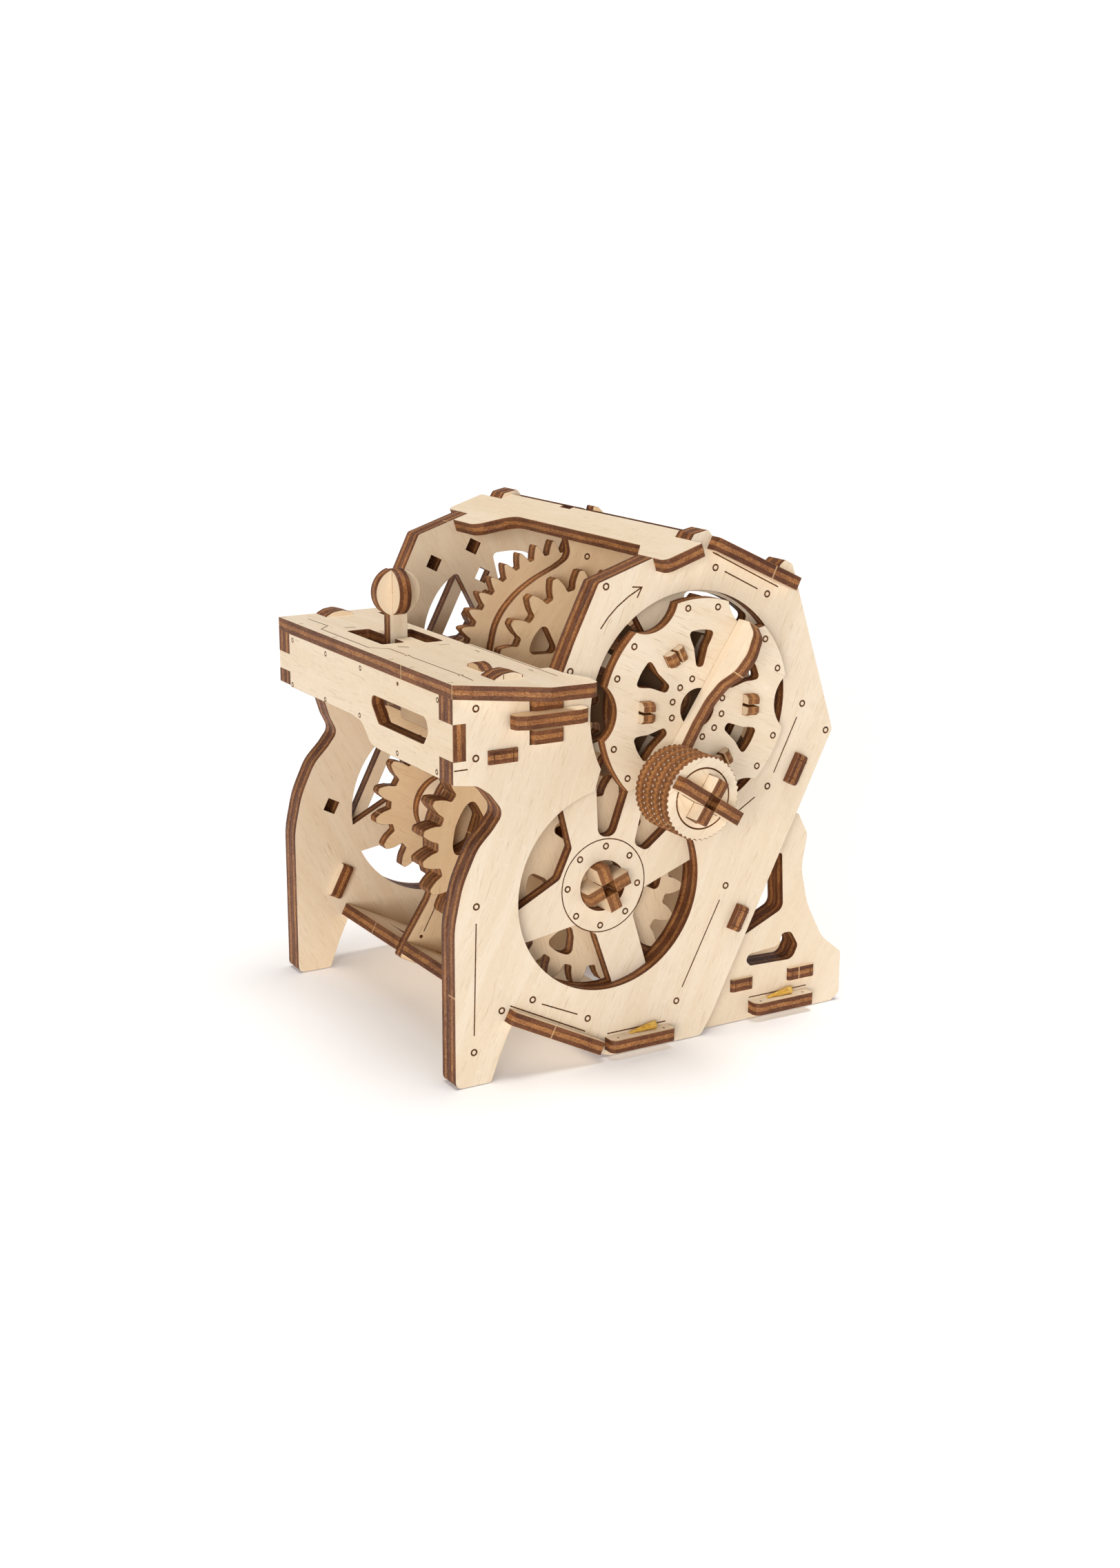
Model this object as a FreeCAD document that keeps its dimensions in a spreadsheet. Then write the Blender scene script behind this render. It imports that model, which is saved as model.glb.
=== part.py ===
import FreeCAD, Part
import math
import os
from FreeCAD import Placement, Rotation, Vector

# A hand-cranked gearbox model of 4 mm laser-cut plywood.
# Working coordinates (before the shift to the origin of the part):
#   x = 0 is the outer face of the right wall, +x points out of it towards the crank,
#   y = 0 is the front edge of the legs, +y points to the back, z = 0 is the table.
# The two shafts lie along x.  The lower one carries the cluster of fixed gears, the upper
# one is the crank drum on the right and the output shaft on the left.

doc = FreeCAD.newDocument("GearboxModel")
sheet = doc.addObject("Spreadsheet::Sheet", "Sizes")

CELLS = [
    ("ply", 4.0, "sheet thickness"),
    ("origin_x", -46.5, "middle of the overall box, across"),
    ("origin_y", 69.6, "middle of the overall box, front to back"),
    ("right_outer_x", -4.0, "inner face of the right outer wall sheet"),
    ("right_inner_x", -8.0, "inner face of the right inner wall sheet"),
    ("left_inner_x", -114.5, "outer face of the left inner wall sheet"),
    ("left_outer_x", -118.5, "outer face of the left outer wall sheet"),
    ("middle_x", -70.6, "left face of the middle plate"),
    ("lower_y", 50.7, "lower shaft axis"),
    ("lower_z", 51.6, "lower shaft axis"),
    ("upper_y", 76.94, "upper shaft axis"),
    ("upper_z", 103.10, "upper shaft axis"),
    ("idler_y", 44.76, "reverse idler axis"),
    ("idler_z", 90.15, "reverse idler axis"),
    ("coarse_module", 2.89, "module of the 12, 15 and 20 tooth gears"),
    ("fine_module", 1.8645, "module of the 22 and 40 tooth gears"),
    ("shaft_bore", 7.65, "radius of every bore that turns on a shaft"),
    ("blade_half", 7.30, "half width of the shaft blades"),
    ("drum_bore", 21.0, "radius of the crank drum bearing"),
    ("gear_input_x", -12.4, "input pair, left face"),
    ("gear_direct_x", -62.2, "direct gear, left face"),
    ("gear_wide_x", -66.2, "double counter gear, left face"),
    ("gear_fine_x", -75.0, "fine pair, left face"),
    ("gear_reverse_x", -110.1, "reverse train, left face"),
    ("roof_slope", 18.0, "slope of the roof plate, degrees"),
    ("rear_slope", 25.2, "fall of the upper rear plate, degrees"),
    ("shaft_lean", 27.0, "lean of the two shafts, degrees"),
    ("console_z", 113.0, "underside of the console top"),
    ("shelf_z", 93.6, "underside of the console shelf"),
    ("disc_lobe", 31.8, "radius of the crank disc"),
    ("disc_dip", 27.3, "radius of the crank disc in its scallops"),
    ("knob_radius", 12.28, "radius of the crank knob"),
    ("knob_throw", 23.7, "crank radius of the knob"),
    ("sleeve_x", -100.4, "dog sleeve, left face"),
    ("rail_low_z", 97.8, "lower shift rail"),
    ("rail_bar_z", 103.3, "shift rail with the cross bar"),
    ("rail_top_z", 107.3, "upper shift rail"),
    ("lever_x", -73.5, "shift lever, left face"),
    ("pick_small", 0.35, "thin end of a toothpick wedge, radius"),
    ("pick_large", 1.25, "thick end of a toothpick wedge, radius"),
    ("pick_length", 9.0, "length of a toothpick wedge"),
    ("pin_radius", 1.0, "radius of the lever pivot pin"),
]
S = {}
for row, (alias, value, note) in enumerate(CELLS, start=1):
    sheet.set("A%d" % row, note)
    sheet.set("B%d" % row, str(value))
    sheet.setAlias("B%d" % row, alias)
    S[alias] = value
doc.recompute()
for alias in S:
    S[alias] = float(getattr(sheet, alias))

T = S["ply"]
LY, LZ = S["lower_y"], S["lower_z"]
UY, UZ = S["upper_y"], S["upper_z"]
LEAN = math.radians(S["shaft_lean"])
UU = (math.sin(LEAN), math.cos(LEAN))      # along the line of the shafts, upwards, in (y, z)
VV = (math.cos(LEAN), -math.sin(LEAN))     # square to it, to the rear

NODES = []


# ------------------------------------------------------------------ plane shapes
def v3(p):
    return Vector(p[0], p[1], 0)


def poly(points):
    """Face bounded by straight edges; a third number rounds that corner by its radius."""
    n = len(points)
    turn = sum(points[i - 1][0] * points[i][1] - points[i][0] * points[i - 1][1] for i in range(n))
    if turn < 0:
        points = list(reversed(points))
    corners = []
    for i, p in enumerate(points):
        a, b, c = v3(points[i - 1]), v3(p), v3(points[(i + 1) % n])
        r = p[2] if len(p) > 2 else 0.0
        d1, d2 = a - b, c - b
        l1, l2 = d1.Length, d2.Length
        d1.normalize()
        d2.normalize()
        ang = d1.getAngle(d2)
        if r > 0 and ang < math.pi - 0.02:
            cut = r / math.tan(ang / 2)
            most = 0.49 * min(l1, l2)
            if cut > most:
                cut = most
                r = cut * math.tan(ang / 2)
            bis = d1 + d2
            bis.normalize()
            centre = b + bis * (r / math.sin(ang / 2))
            corners.append((b + d1 * cut, centre - bis * r, b + d2 * cut))
        else:
            corners.append((b, None, b))
    edges = []
    for i in range(n):
        s, m, e = corners[i]
        if m is not None:
            edges.append(Part.Arc(s, m, e).toShape())
        nxt = corners[(i + 1) % n][0]
        if (nxt - e).Length > 1e-6:
            edges.append(Part.LineSegment(e, nxt).toShape())
    return Part.Face(Part.Wire(edges))


def disc(cy, cz, r):
    return Part.Face(Part.Wire(Part.makeCircle(r, Vector(cy, cz, 0))))


def local(origin, angle, points):
    """Points given along and across a line that leaves origin at angle (degrees)."""
    ca, sa = math.cos(math.radians(angle)), math.sin(math.radians(angle))
    out = []
    for p in points:
        q = (origin[0] + p[0] * ca - p[1] * sa, origin[1] + p[0] * sa + p[1] * ca)
        out.append(q + tuple(p[2:]))
    return out


def box2(origin, angle, s0, s1, h0, h1, r=0.0):
    return poly(local(origin, angle, [(s0, h0, r), (s1, h0, r), (s1, h1, r), (s0, h1, r)]))


def polar(cy, cz, items):
    out = []
    for it in items:
        a = math.radians(it[1])
        out.append((cy + it[0] * math.cos(a), cz + it[0] * math.sin(a)) + tuple(it[2:]))
    return out


def only(shape):
    faces = shape.Faces
    big = max(faces, key=lambda f: f.Area)
    rest = sum(f.Area for f in faces) - big.Area
    if rest > 1e-3:
        raise RuntimeError("a plane shape fell into pieces: %.3f" % rest)
    return big


def minus(face, tools):
    out = face
    for tool in tools:
        out = only(out.cut(tool))
    return out


def plus(face, tools):
    out = face
    for tool in tools:
        out = only(out.fuse(tool).removeSplitter())
    return out


def geometry(face):
    out = []
    for e in face.Edges:
        c = e.Curve
        a, b = e.valueAt(e.FirstParameter), e.valueAt(e.LastParameter)
        if isinstance(c, Part.Line):
            out.append(Part.LineSegment(a, b))
        elif isinstance(c, Part.Circle):
            if (a - b).Length < 1e-7:
                out.append(Part.Circle(c.Center, Vector(0, 0, 1), c.Radius))
            else:
                m = e.valueAt((e.FirstParameter + e.LastParameter) / 2)
                out.append(Part.Arc(a, m, b))
        else:
            raise RuntimeError("unexpected curve in a plane shape")
    return out


# ------------------------------------------------------------------ plates
def plate(label, plane, face, at, thick="Sizes.ply", turn=None, middle=False, node=True):
    """One sheet: a sketch on an origin plane of its own body, padded by the sheet thickness.
    at holds three expressions for the place of the sketch's zero; turn is (axis, expression)."""
    body = doc.addObject("PartDesign::Body", label)
    body.Label = label
    origin = None
    for f in body.Origin.OriginFeatures:
        if f.Role == plane:
            origin = f
    sk = body.newObject("Sketcher::SketchObject", label + "_outline")
    sk.AttachmentSupport = [(origin, "")]
    sk.MapMode = "FlatFace"
    sk.addGeometry(geometry(face), False)
    if middle:
        sk.setExpression("AttachmentOffset.Base.z", "-%s / 2" % thick)
    pad = body.newObject("PartDesign::Pad", label + "_pad")
    pad.Profile = sk
    pad.setExpression("Length", thick)
    body.Tip = pad
    if turn:
        body.Placement = Placement(Vector(0, 0, 0), Rotation(turn[0], 1.0))
        body.setExpression("Placement.Rotation.Angle", turn[1])
    for axis, expr in zip("xyz", at):
        body.setExpression("Placement.Base.%s" % axis, expr)
    body.addProperty("App::PropertyFloat", "FlatArea")
    body.FlatArea = face.Area
    if node:
        NODES.append((label, body))
    return body


def wall(label, face, x_expr, **kw):
    """Sheet square to x, drawn in (y, z)."""
    return plate(label, "YZ_Plane", face, ("%s - Sizes.origin_x" % x_expr, "-Sizes.origin_y", "0"), **kw)


def wheel(label, face, x_expr, which, **kw):
    """Sheet square to x, drawn about a shaft axis."""
    return plate(label, "YZ_Plane", face,
                 ("%s - Sizes.origin_x" % x_expr, "Sizes.%s_y - Sizes.origin_y" % which, "Sizes.%s_z" % which), **kw)


def level(label, face, z_expr, **kw):
    """Level sheet, drawn in (x, y)."""
    return plate(label, "XY_Plane", face, ("-Sizes.origin_x", "-Sizes.origin_y", z_expr), **kw)


def sloped(label, face, y0, z0, angle_expr, **kw):
    """Sheet tilted about x, drawn in (x, distance up the slope)."""
    return plate(label, "XY_Plane", face,
                 ("-Sizes.origin_x", "%.6f - Sizes.origin_y" % y0, "%.6f" % z0),
                 turn=(Vector(1, 0, 0), angle_expr), **kw)


def blade(label, face, cy_expr, cz_expr, angle_expr, **kw):
    """Sheet that contains x and the direction at angle in (y, z), centred on its axis."""
    return plate(label, "XY_Plane", face, ("-Sizes.origin_x", cy_expr, cz_expr),
                 turn=(Vector(1, 0, 0), angle_expr), middle=True, **kw)


def group(label, members):
    comp = doc.addObject("Part::Compound", label)
    comp.Label = label
    comp.Links = members
    NODES.append((label, comp))
    return comp


# ------------------------------------------------------------------ gears
def gear_face(module, teeth, phase, addendum, dedendum=1.08, thin=0.30, press=25.0):
    """Involute spur gear outline about zero; thin is taken off the tooth at the pitch circle."""
    rp = module * teeth / 2.0
    ra, rd = rp + addendum * module, rp - dedendum * module
    alpha = math.radians(press)
    rb = rp * math.cos(alpha)

    def inv(a):
        return math.tan(a) - a

    half_pitch = (math.pi * module / 2.0 - thin) / 2.0 / rp

    def half_at(r):
        if r <= rb:
            return half_pitch + inv(alpha)
        a = math.acos(rb / r)
        return half_pitch + inv(alpha) - inv(a)

    radii = [rd]
    start = max(rb, rd + 0.05)
    for i in range(4):
        radii.append(start + (ra - 0.35 - start) * i / 3.0)
    pts = []
    for k in range(teeth):
        mid = math.radians(phase) + 2 * math.pi * k / teeth
        root = half_at(start) + 0.10 * math.pi / teeth
        left = [(rd, root)] + [(r, half_at(r)) for r in radii[1:]]
        tip = max(half_at(ra - 0.35) - 0.45 / ra, 0.1 / ra)
        left.append((ra, tip))
        for r, h in left:
            pts.append((r * math.cos(mid - h), r * math.sin(mid - h)))
        for r, h in reversed(left):
            pts.append((r * math.cos(mid + h), r * math.sin(mid + h)))
    return poly(pts)


def mates_phase(line, phase_a, teeth_a, teeth_b):
    """Phase of gear b so that a gap meets a's tooth; line is the direction from a to b."""
    pa = (line - phase_a) * teeth_a
    return line + 180.0 - (180.0 - pa) / teeth_b


def cross_face(angle, half=None, thick=None):
    half = half or S["blade_half"]
    thick = thick or T
    a = box2((0, 0), angle, -half, half, -thick / 2, thick / 2)
    b = box2((0, 0), angle + 90, -half, half, -thick / 2, thick / 2)
    return plus(a, [b])


SHAFT_ANGLE = 21.0
TO_UPPER = 90.0 - S["shaft_lean"]


# ------------------------------------------------------------------ side walls
def roof_pt(s, up):
    a = math.radians(S["roof_slope"])
    return (45.8 + s * math.cos(a) - up * math.sin(a), 141.0 + s * math.sin(a) + up * math.cos(a))


def rear_pt(s, up):
    a = math.radians(S["rear_slope"])
    return (81.8 + s * math.cos(a) + up * math.sin(a), 148.1 - s * math.sin(a) + up * math.cos(a))


LOW = (15.7, 17.75)          # front lower corner of the lower front plate


def low_pt(s, up):
    return (LOW[0] + s * VV[0] + up * UU[0], LOW[1] + s * VV[1] + up * UU[1])


def wall_outline(with_leg, left=False):
    pts = [(0, 0, 2.2), (11.4, 0, 1.0), (14.4, 8.0, 9.0), (16.8, 13.4, 2.5)]
    pts.append(low_pt(3.0, 0))
    pts.append(low_pt(34.0, 0))
    pts.append((51.0, 0, 6.0))
    if with_leg:
        pts += [(136.3, 0, 1.5), (139.2, 2.2, 2.0), (139.2, 16.0, 2.0), (131.5, 22.2, 12.0), (125.4, 34.0, 20.0),
                (122.6, 46.0, 14.0), (124.5, 56.6, 2.5), (121.0, 63.4, 1.5), (117.4, 65.8, 1.0)]
    else:
        pts += [(83.6, 0, 2.5), (87.3, 5.8, 5.0)]
    pts += [(129.2, 90.2, 2.0), (112.2, 141.5, 0.8), (109.6, 143.0, 0.8), (107.8, 141.6, 0.5), rear_pt(26.4, 4.0), rear_pt(0.0, 4.0)]
    pts += [(82.1, 153.5, 0.8), (77.3, 152.5, 0.8), roof_pt(32.0, 0.0), (45.8, 141.0, 1.2), (38.3, 125.6, 40.0), (34.6, 117.0), (34.6, 113.0)]
    pts += [(22.3, 113.0), (22.3, 117.7, 0.8), (18.6, 118.8, 4.0), (15.4, 118.4, 3.0), (12.9, 117.2, 0.8), (12.9, 113.0)]
    pts.append((0, 113.0))
    if left:
        pts += [(0, 96.3, 0.4), (9.4, 96.3, 2.5), (11.2, 91.0, 6.0), (13.2, 84.6, 5.0)]
    else:
        pts += [(0, 89.0, 0.4), (7.4, 88.0, 4.0), (11.4, 85.2, 6.0)]
    pts += [(15.8, 79.4, 3.4), (12.2, 74.8, 5.0), (7.4, 70.0, 14.0), (2.6, 59.8, 30.0), (0, 48.0, 30.0)]
    return poly(pts)


def common_slots(shelf_front=10.7):
    return [
        box2((LOW[0], LOW[1]), -S["shaft_lean"], 0, 34, 0, T),                      # lower front plate
        poly([rear_pt(0, 0), rear_pt(26.4, 0), rear_pt(26.4, 4.5), rear_pt(0, 4.5)]),  # upper rear plate
        poly([roof_pt(18.6, -T), roof_pt(32.0, -T), roof_pt(32.0, 0.5), roof_pt(18.6, 0.5)]),  # roof lips
        poly([(shelf_front, 93.6), (20.0, 93.6), (20.0, 97.6), (shelf_front, 97.6)]),  # console shelf
        box2((UY, UZ), TO_UPPER, -8.4, 1.1, -46.95, -42.95),                        # upper rear brace
        box2((LY, LZ), TO_UPPER, 2.2, 10.2, -49.3, -45.3),                          # lower rear brace
        poly([(49.5, 2.2), (71.5, 2.2), (71.5, 6.2), (49.5, 6.2)]),                 # front base tie
    ]


def twin_opening():
    lower_r, upper_r = 30.45, 33.5

    def on(c, r, deg):
        a = math.radians(deg)
        return Vector(c[0] + r * math.cos(a), c[1] + r * math.sin(a), 0)

    low, up = (LY, LZ), (UY, UZ)
    a1, a2 = on(low, lower_r, 100.6), on(low, lower_r, 25.4)
    b1, b2 = on(up, upper_r, 278.8), on(up, upper_r, 207.2)
    edges = [
        Part.Arc(a1, on(low, lower_r, 243.0), a2).toShape(),
        Part.LineSegment(a2, b1).toShape(),
        Part.Arc(b1, on(up, upper_r, 63.0), b2).toShape(),
        Part.LineSegment(b2, a1).toShape(),
    ]
    return Part.Face(Part.Wire(edges))


PANEL_NOTCH_RIGHT = poly([(-1, 95.5), (T, 95.5), (T, 106.0), (-1, 106.0)])
PANEL_NOTCH_LEFT = poly([(-1, 100.7), (T, 100.7), (T, 106.5), (-1, 106.5)])
RAIL_SLOT = poly([(23.9, 97.6), (34.5, 97.6), (34.5, 111.5), (23.9, 111.5)])
STOP_SLOT = box2((LY, LZ), TO_UPPER, -41.5, -30.2, 19.3, 23.3)

right_outer = minus(wall_outline(False), common_slots() + [twin_opening(), PANEL_NOTCH_RIGHT, RAIL_SLOT])
wall("right_outer_plate", right_outer, "Sizes.right_outer_x")

rib = box2((LY, LZ), TO_UPPER, -60, 120, 20.3, 24.3)
left_openings = twin_opening().cut(rib)
left_outer = wall_outline(False, left=True)
for f in left_openings.Faces:
    left_outer = only(left_outer.cut(f))
IDLER_CROSS_AT = (S["idler_y"], S["idler_z"])


def at_axis(face, cy, cz):
    moved = face.copy()
    moved.translate(Vector(cy, cz, 0))
    return moved


idler_cross = cross_face(0.0, half=4.6)
left_outer = minus(left_outer, common_slots(14.2) + [PANEL_NOTCH_LEFT, STOP_SLOT])
wall("left_outer_plate", left_outer, "Sizes.left_outer_x")


def lower_windows(upper_clear):
    ring = disc(LY, LZ, 30.5)
    a = poly([(40.1, 64.4, 1.5), (36.1, 55.6, 2.5), (23.0, 48.9), (13, 43.8), (13, 60), (22, 84), (35.4, 82.4)])
    b = poly([(41.4, 41.0, 1.5), (48.5, 37.2, 2.0), (54.0, 21.6), (55.0, 12), (20, 12), (12, 36.6)])
    c = poly([(64.6, 48.8, 1.2), (61.1, 41.0, 1.5), (68.8, 15.8), (92, 15.8), (92, 59.0)])
    out = [only(f.common(ring)) for f in (a, b, c)]
    s1 = poly([(47.6, 92.0), (48.9, 66.6, 2.8), (54.4, 66.0, 2.8), (62.2, 88.0)])
    s2 = poly([(61.2, 62.6, 2.2), (65.4, 60.0, 2.2), (80.0, 71.0), (72, 82), (66.0, 82)])
    clear = disc(UY, UZ, upper_clear)
    for f in (s1, s2):
        g = only(f.cut(clear))
        if upper_clear > 30:
            g = only(g.common(ring))
        out.append(g)
    return out


def ring_window(cy, cz, a0, a1, r0, r1, corner=1.5, flare=0.0):
    """Opening between two radii and two angles with rounded corners."""
    steps = 6
    pts = []
    for i in range(steps + 1):
        a = a0 + (a1 - a0) * i / steps
        pts.append((r1 / math.cos(math.radians((a1 - a0) / steps / 2)) if 0 < i < steps else r1, a,
                    corner if i in (0, steps) else 60.0))
    for i in range(steps + 1):
        a = a1 - flare - (a1 - a0 - 2 * flare) * i / steps
        pts.append((r0, a, corner if i in (0, steps) else 60.0))
    return poly(polar(cy, cz, pts))


rear_leg_cuts = [
    poly([(115.0, 53.8, 1.0), (116.1, 34.0, 3.0), (96.4, 25.4, 1.4), (95.2, 27.6, 1.4)]),
    poly([(102.5, 19.2, 1.6), (104.3, 17.3, 1.4), (120.3, 16.8, 3.0), (122.4, 21.0, 2.0), (119.5, 25.9, 2.0), (116.0, 25.9, 1.6),
          (114.9, 22.0, 2.4), (103.9, 21.2, 1.4)]),
    poly([(97.0, 10.0), (105.0, 10.0), (105.0, 14.0), (97.0, 14.0)]),
    poly([(118.5, 10.0), (128.4, 10.0), (128.4, 14.0), (118.5, 14.0)]),
    poly([(104.0, 2.0), (126.0, 2.0), (126.0, 6.0), (104.0, 6.0)]),
]

right_inner = minus(wall_outline(True), common_slots() + rear_leg_cuts + [PANEL_NOTCH_RIGHT, RAIL_SLOT])
right_inner = minus(right_inner, [disc(LY, LZ, S["shaft_bore"]), disc(UY, UZ, S["drum_bore"])] + lower_windows(25.0))
for a0, a1 in ((-58, -14), (-6, 36), (46, 90), (121, 146), (154, 196)):
    right_inner = only(right_inner.cut(ring_window(UY, UZ, a0, a1, 24.6, 32.6, corner=1.6)))
wall("right_inner_plate", right_inner, "Sizes.right_inner_x")

left_inner = minus(wall_outline(True, left=True), common_slots(14.2) + rear_leg_cuts + [PANEL_NOTCH_LEFT, STOP_SLOT])
left_inner = minus(left_inner, [disc(LY, LZ, S["shaft_bore"]), disc(UY, UZ, S["shaft_bore"])] + lower_windows(33.0))
upper_windows = [
    poly(polar(UY, UZ, [(15.5, 92.0, 2.0), (30.4, 98.0, 1.5), (31.2, 80, 40), (31.0, 62, 40), (30.4, 46.0, 1.5), (15.5, 55.0, 2.0)])),
    poly(polar(UY, UZ, [(15.5, 132.0, 2.0), (30.4, 125.0, 1.5), (31.2, 140, 40), (31.0, 158, 40), (30.4, 176.0, 1.5), (15.5, 168.0, 2.0)])),
    poly(polar(UY, UZ, [(15.5, 30.0, 2.0), (30.4, 30.0, 1.5), (31.2, 12, 40), (31.0, -8, 40), (30.4, -26.0, 1.5), (15.5, -20.0, 2.0)])),
]
left_inner = minus(left_inner, upper_windows)
for cy, cz in ((13.0, 55.0), (51.2, 131.4), (65.6, 135.9), (69.0, 126.2)):
    left_inner = only(left_inner.cut(box2((cy, cz), -S["shaft_lean"], -2.1, 2.1, -2.1, 2.1)))
left_inner = only(left_inner.cut(at_axis(idler_cross, *IDLER_CROSS_AT)))
wall("left_inner_plate", left_inner, "Sizes.left_inner_x")

# second sheet of each rear leg, on the inside
leg_liner = minus(poly([(99.0, 0, 1.0), (136.3, 0, 1.5), (139.2, 2.2, 2.0), (139.2, 16.0, 2.0), (131.5, 22.2, 12.0), (125.4, 34.0, 20.0),
                        (122.6, 46.0, 14.0), (124.5, 56.6, 2.5), (121.0, 63.4, 1.5), (117.4, 65.8, 1.0), (114.6, 60.6, 1.0), (116.1, 34.0, 3.0), (99.0, 26.54, 0.8)]),
                  rear_leg_cuts[1:])
wall("right_leg_liner", leg_liner, "Sizes.right_inner_x - Sizes.ply")
wall("left_leg_liner", leg_liner, "Sizes.left_inner_x + Sizes.ply")

# ------------------------------------------------------------------ middle plate
middle_pts = [low_pt(0.4, -1.5) + (0.8,), low_pt(12.0, -1.5) + (0.8,), low_pt(12.0, T), low_pt(30.0, T) + (4.0,), (49.0, 6.2), (72.0, 6.2, 2.0), (80.0, 9.0, 6.0), (84.0, 15.2, 6.0),
              (LY + 45.3 * VV[0] - 1.5 * UU[0], LZ + 45.3 * VV[1] - 1.5 * UU[1], 3.0),
              (LY + 45.3 * VV[0] + 13.0 * UU[0], LZ + 45.3 * VV[1] + 13.0 * UU[1], 10.0),
              (UY + 42.95 * VV[0] - 12.5 * UU[0], UZ + 42.95 * VV[1] - 12.5 * UU[1], 8.0),
              (UY + 42.95 * VV[0] + 2.0 * UU[0], UZ + 42.95 * VV[1] + 2.0 * UU[1], 3.0),
              (106.5, 128.0, 8.0)]
middle_pts += [rear_pt(24.0, 0.0) + (1.0,), rear_pt(6.0, 0.0), rear_pt(6.0, 4.6) + (0.8,), (86.6, 152.2, 1.5), (84.7, 152.8, 0.5),
               (84.0, 149.9), roof_pt(36.0, -T), roof_pt(29.0, -T),
               (76.7, 137.5, 4.0), (71.7, 134.6, 12.0), (64.8, 131.6, 30.0), (58.3, 127.8, 30.0), (53.0, 122.5, 30.0), (50.2, 117.8, 30.0), (48.7, 110.8, 20.0),
               (47.0, 98.0, 20.0), (42.0, 78.0, 10.0), (31.0, 69.0, 14.0), (26.0, 58.0, 20.0), (25.6, 46.0, 20.0), (27.4, 36.0, 10.0), low_pt(0.4, T + 1.0)]
middle_face = minus(poly(middle_pts), [disc(LY, LZ, S["shaft_bore"]), disc(UY, UZ, S["shaft_bore"])])
for cut in (
    poly([(60.0, 70.0, 3.0), (80.0, 66.0, 3.0), (88.0, 78.0, 3.0), (70.0, 84.0, 3.0)]),
    poly(polar(UY, UZ, [(16.0, 20.0, 2.0), (29.0, 20.0, 2.0), (30.5, -2.0, 30.0), (29.0, -26.0, 2.0), (16.0, -20.0, 2.0)])),
):
    middle_face = only(middle_face.cut(cut))
wall("middle_plate", middle_face, "Sizes.middle_x")

# ------------------------------------------------------------------ plates between the walls
MX0, MX1 = S["middle_x"], S["middle_x"] + T
LI, RI = S["left_inner_x"] + T, S["right_inner_x"]          # faces of the two walls that look inwards
LO, RO = S["left_outer_x"], 0.0                             # outer faces of the two walls

front_panel = poly([(LI, 113.0), (LI, 106.5), (LO, 106.5), (LO, 100.7), (LI, 100.7), (LI, 96.0), (-65.2, 96.0, 3.0), (-58.0, 95.2, 5.0),
                    (-52.0, 89.6, 4.0), (-45.3, 89.2, 4.0), (RI, 89.2), (RI, 95.5), (RO, 95.5), (RO, 106.0), (RI, 106.0), (RI, 113.0)])
front_panel = minus(front_panel, [poly([(-53.2, 104.8, 2.0), (-16.2, 104.8, 2.4), (-14.6, 101.0, 2.4), (-17.6, 97.0, 1.8), (-46.4, 97.0, 1.2)])])
plate("front_panel", "XZ_Plane", front_panel, ("-Sizes.origin_x", "Sizes.ply - Sizes.origin_y", "0"))

top_pts = [(LO, 0), (0, 0), (15.4, 22.0, 1.2), (16.1, 36.4, 2.4), (9.0, 37.4, 2.0), (0.4, 34.6), (RI, 34.6), (RI, 31.8), (-49.0, 31.8), (-50.2, 30.8),
           (LI, 30.8), (LI, 34.6), (LO, 34.6)]
console_top = minus(poly(top_pts), [
    poly([(-86.0, 8.6, 0.8), (-61.0, 8.6, 0.8), (-61.0, 16.0, 0.8), (-67.7, 16.0), (-67.7, 21.3), (-57.5, 21.3, 0.8), (-57.5, 27.2, 0.8),
          (-79.5, 27.2, 0.8), (-79.5, 21.3, 0.8), (-75.4, 21.3), (-75.4, 16.0), (-86.0, 16.0, 0.8)]),
    poly([(LO - 1, 12.9), (LI, 12.9), (LI, 22.3), (LO - 1, 22.3)]),
    poly([(RI, 12.9), (RO, 12.9), (RO, 22.3), (RI, 22.3)]),
    poly([(-20.6, 15.3), (-12.0, 15.3), (-12.0, 19.3), (-20.6, 19.3)]),
])
level("console_top", console_top, "Sizes.console_z")

shelf = poly([(-97.0, 10.7, 1.0), (LI, 10.7), (LI, 14.2), (LI - 8.8, 14.2, 0.6), (LI - 8.8, 20.0, 0.6), (LI, 20.0), (LI, 22.0), (-103.5, 22.0), (-103.5, 34.4), (RI, 34.4),
              (RI, 20.0), (RO + 0.8, 20.0, 0.6), (RO + 0.8, 10.7, 0.6), (RI, 10.7), (-20.0, 10.7, 1.0), (-20.0, 19.4), (-97.0, 19.4)])
level("console_shelf", shelf, "Sizes.shelf_z")

rib_face = poly([(-63.1, 93.6, 1.0), (-22.5, 93.6), (-22.5, 97.6), (RI - 1.0, 97.6), (RI - 1.0, 113.0), (-12.0, 113.0), (-12.0, 117.2, 0.8), (-14.4, 118.5, 3.0), (-17.6, 118.8, 4.0), (-20.6, 117.6, 0.8),
                 (-20.6, 113.0), (-63.1, 113.0)])
plate("console_rib", "XZ_Plane", rib_face, ("-Sizes.origin_x", "19.3 - Sizes.origin_y", "0"))

guide = minus(poly([(19.4, 97.6), (36.6, 97.6), (36.6, 113.0), (19.4, 113.0)]),
              [poly([(24.2, 97.6 - 1), (34.5, 97.6 - 1), (34.5, 111.5), (24.2, 111.5)])])
wall("rail_guide", guide, "-62.4")

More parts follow.
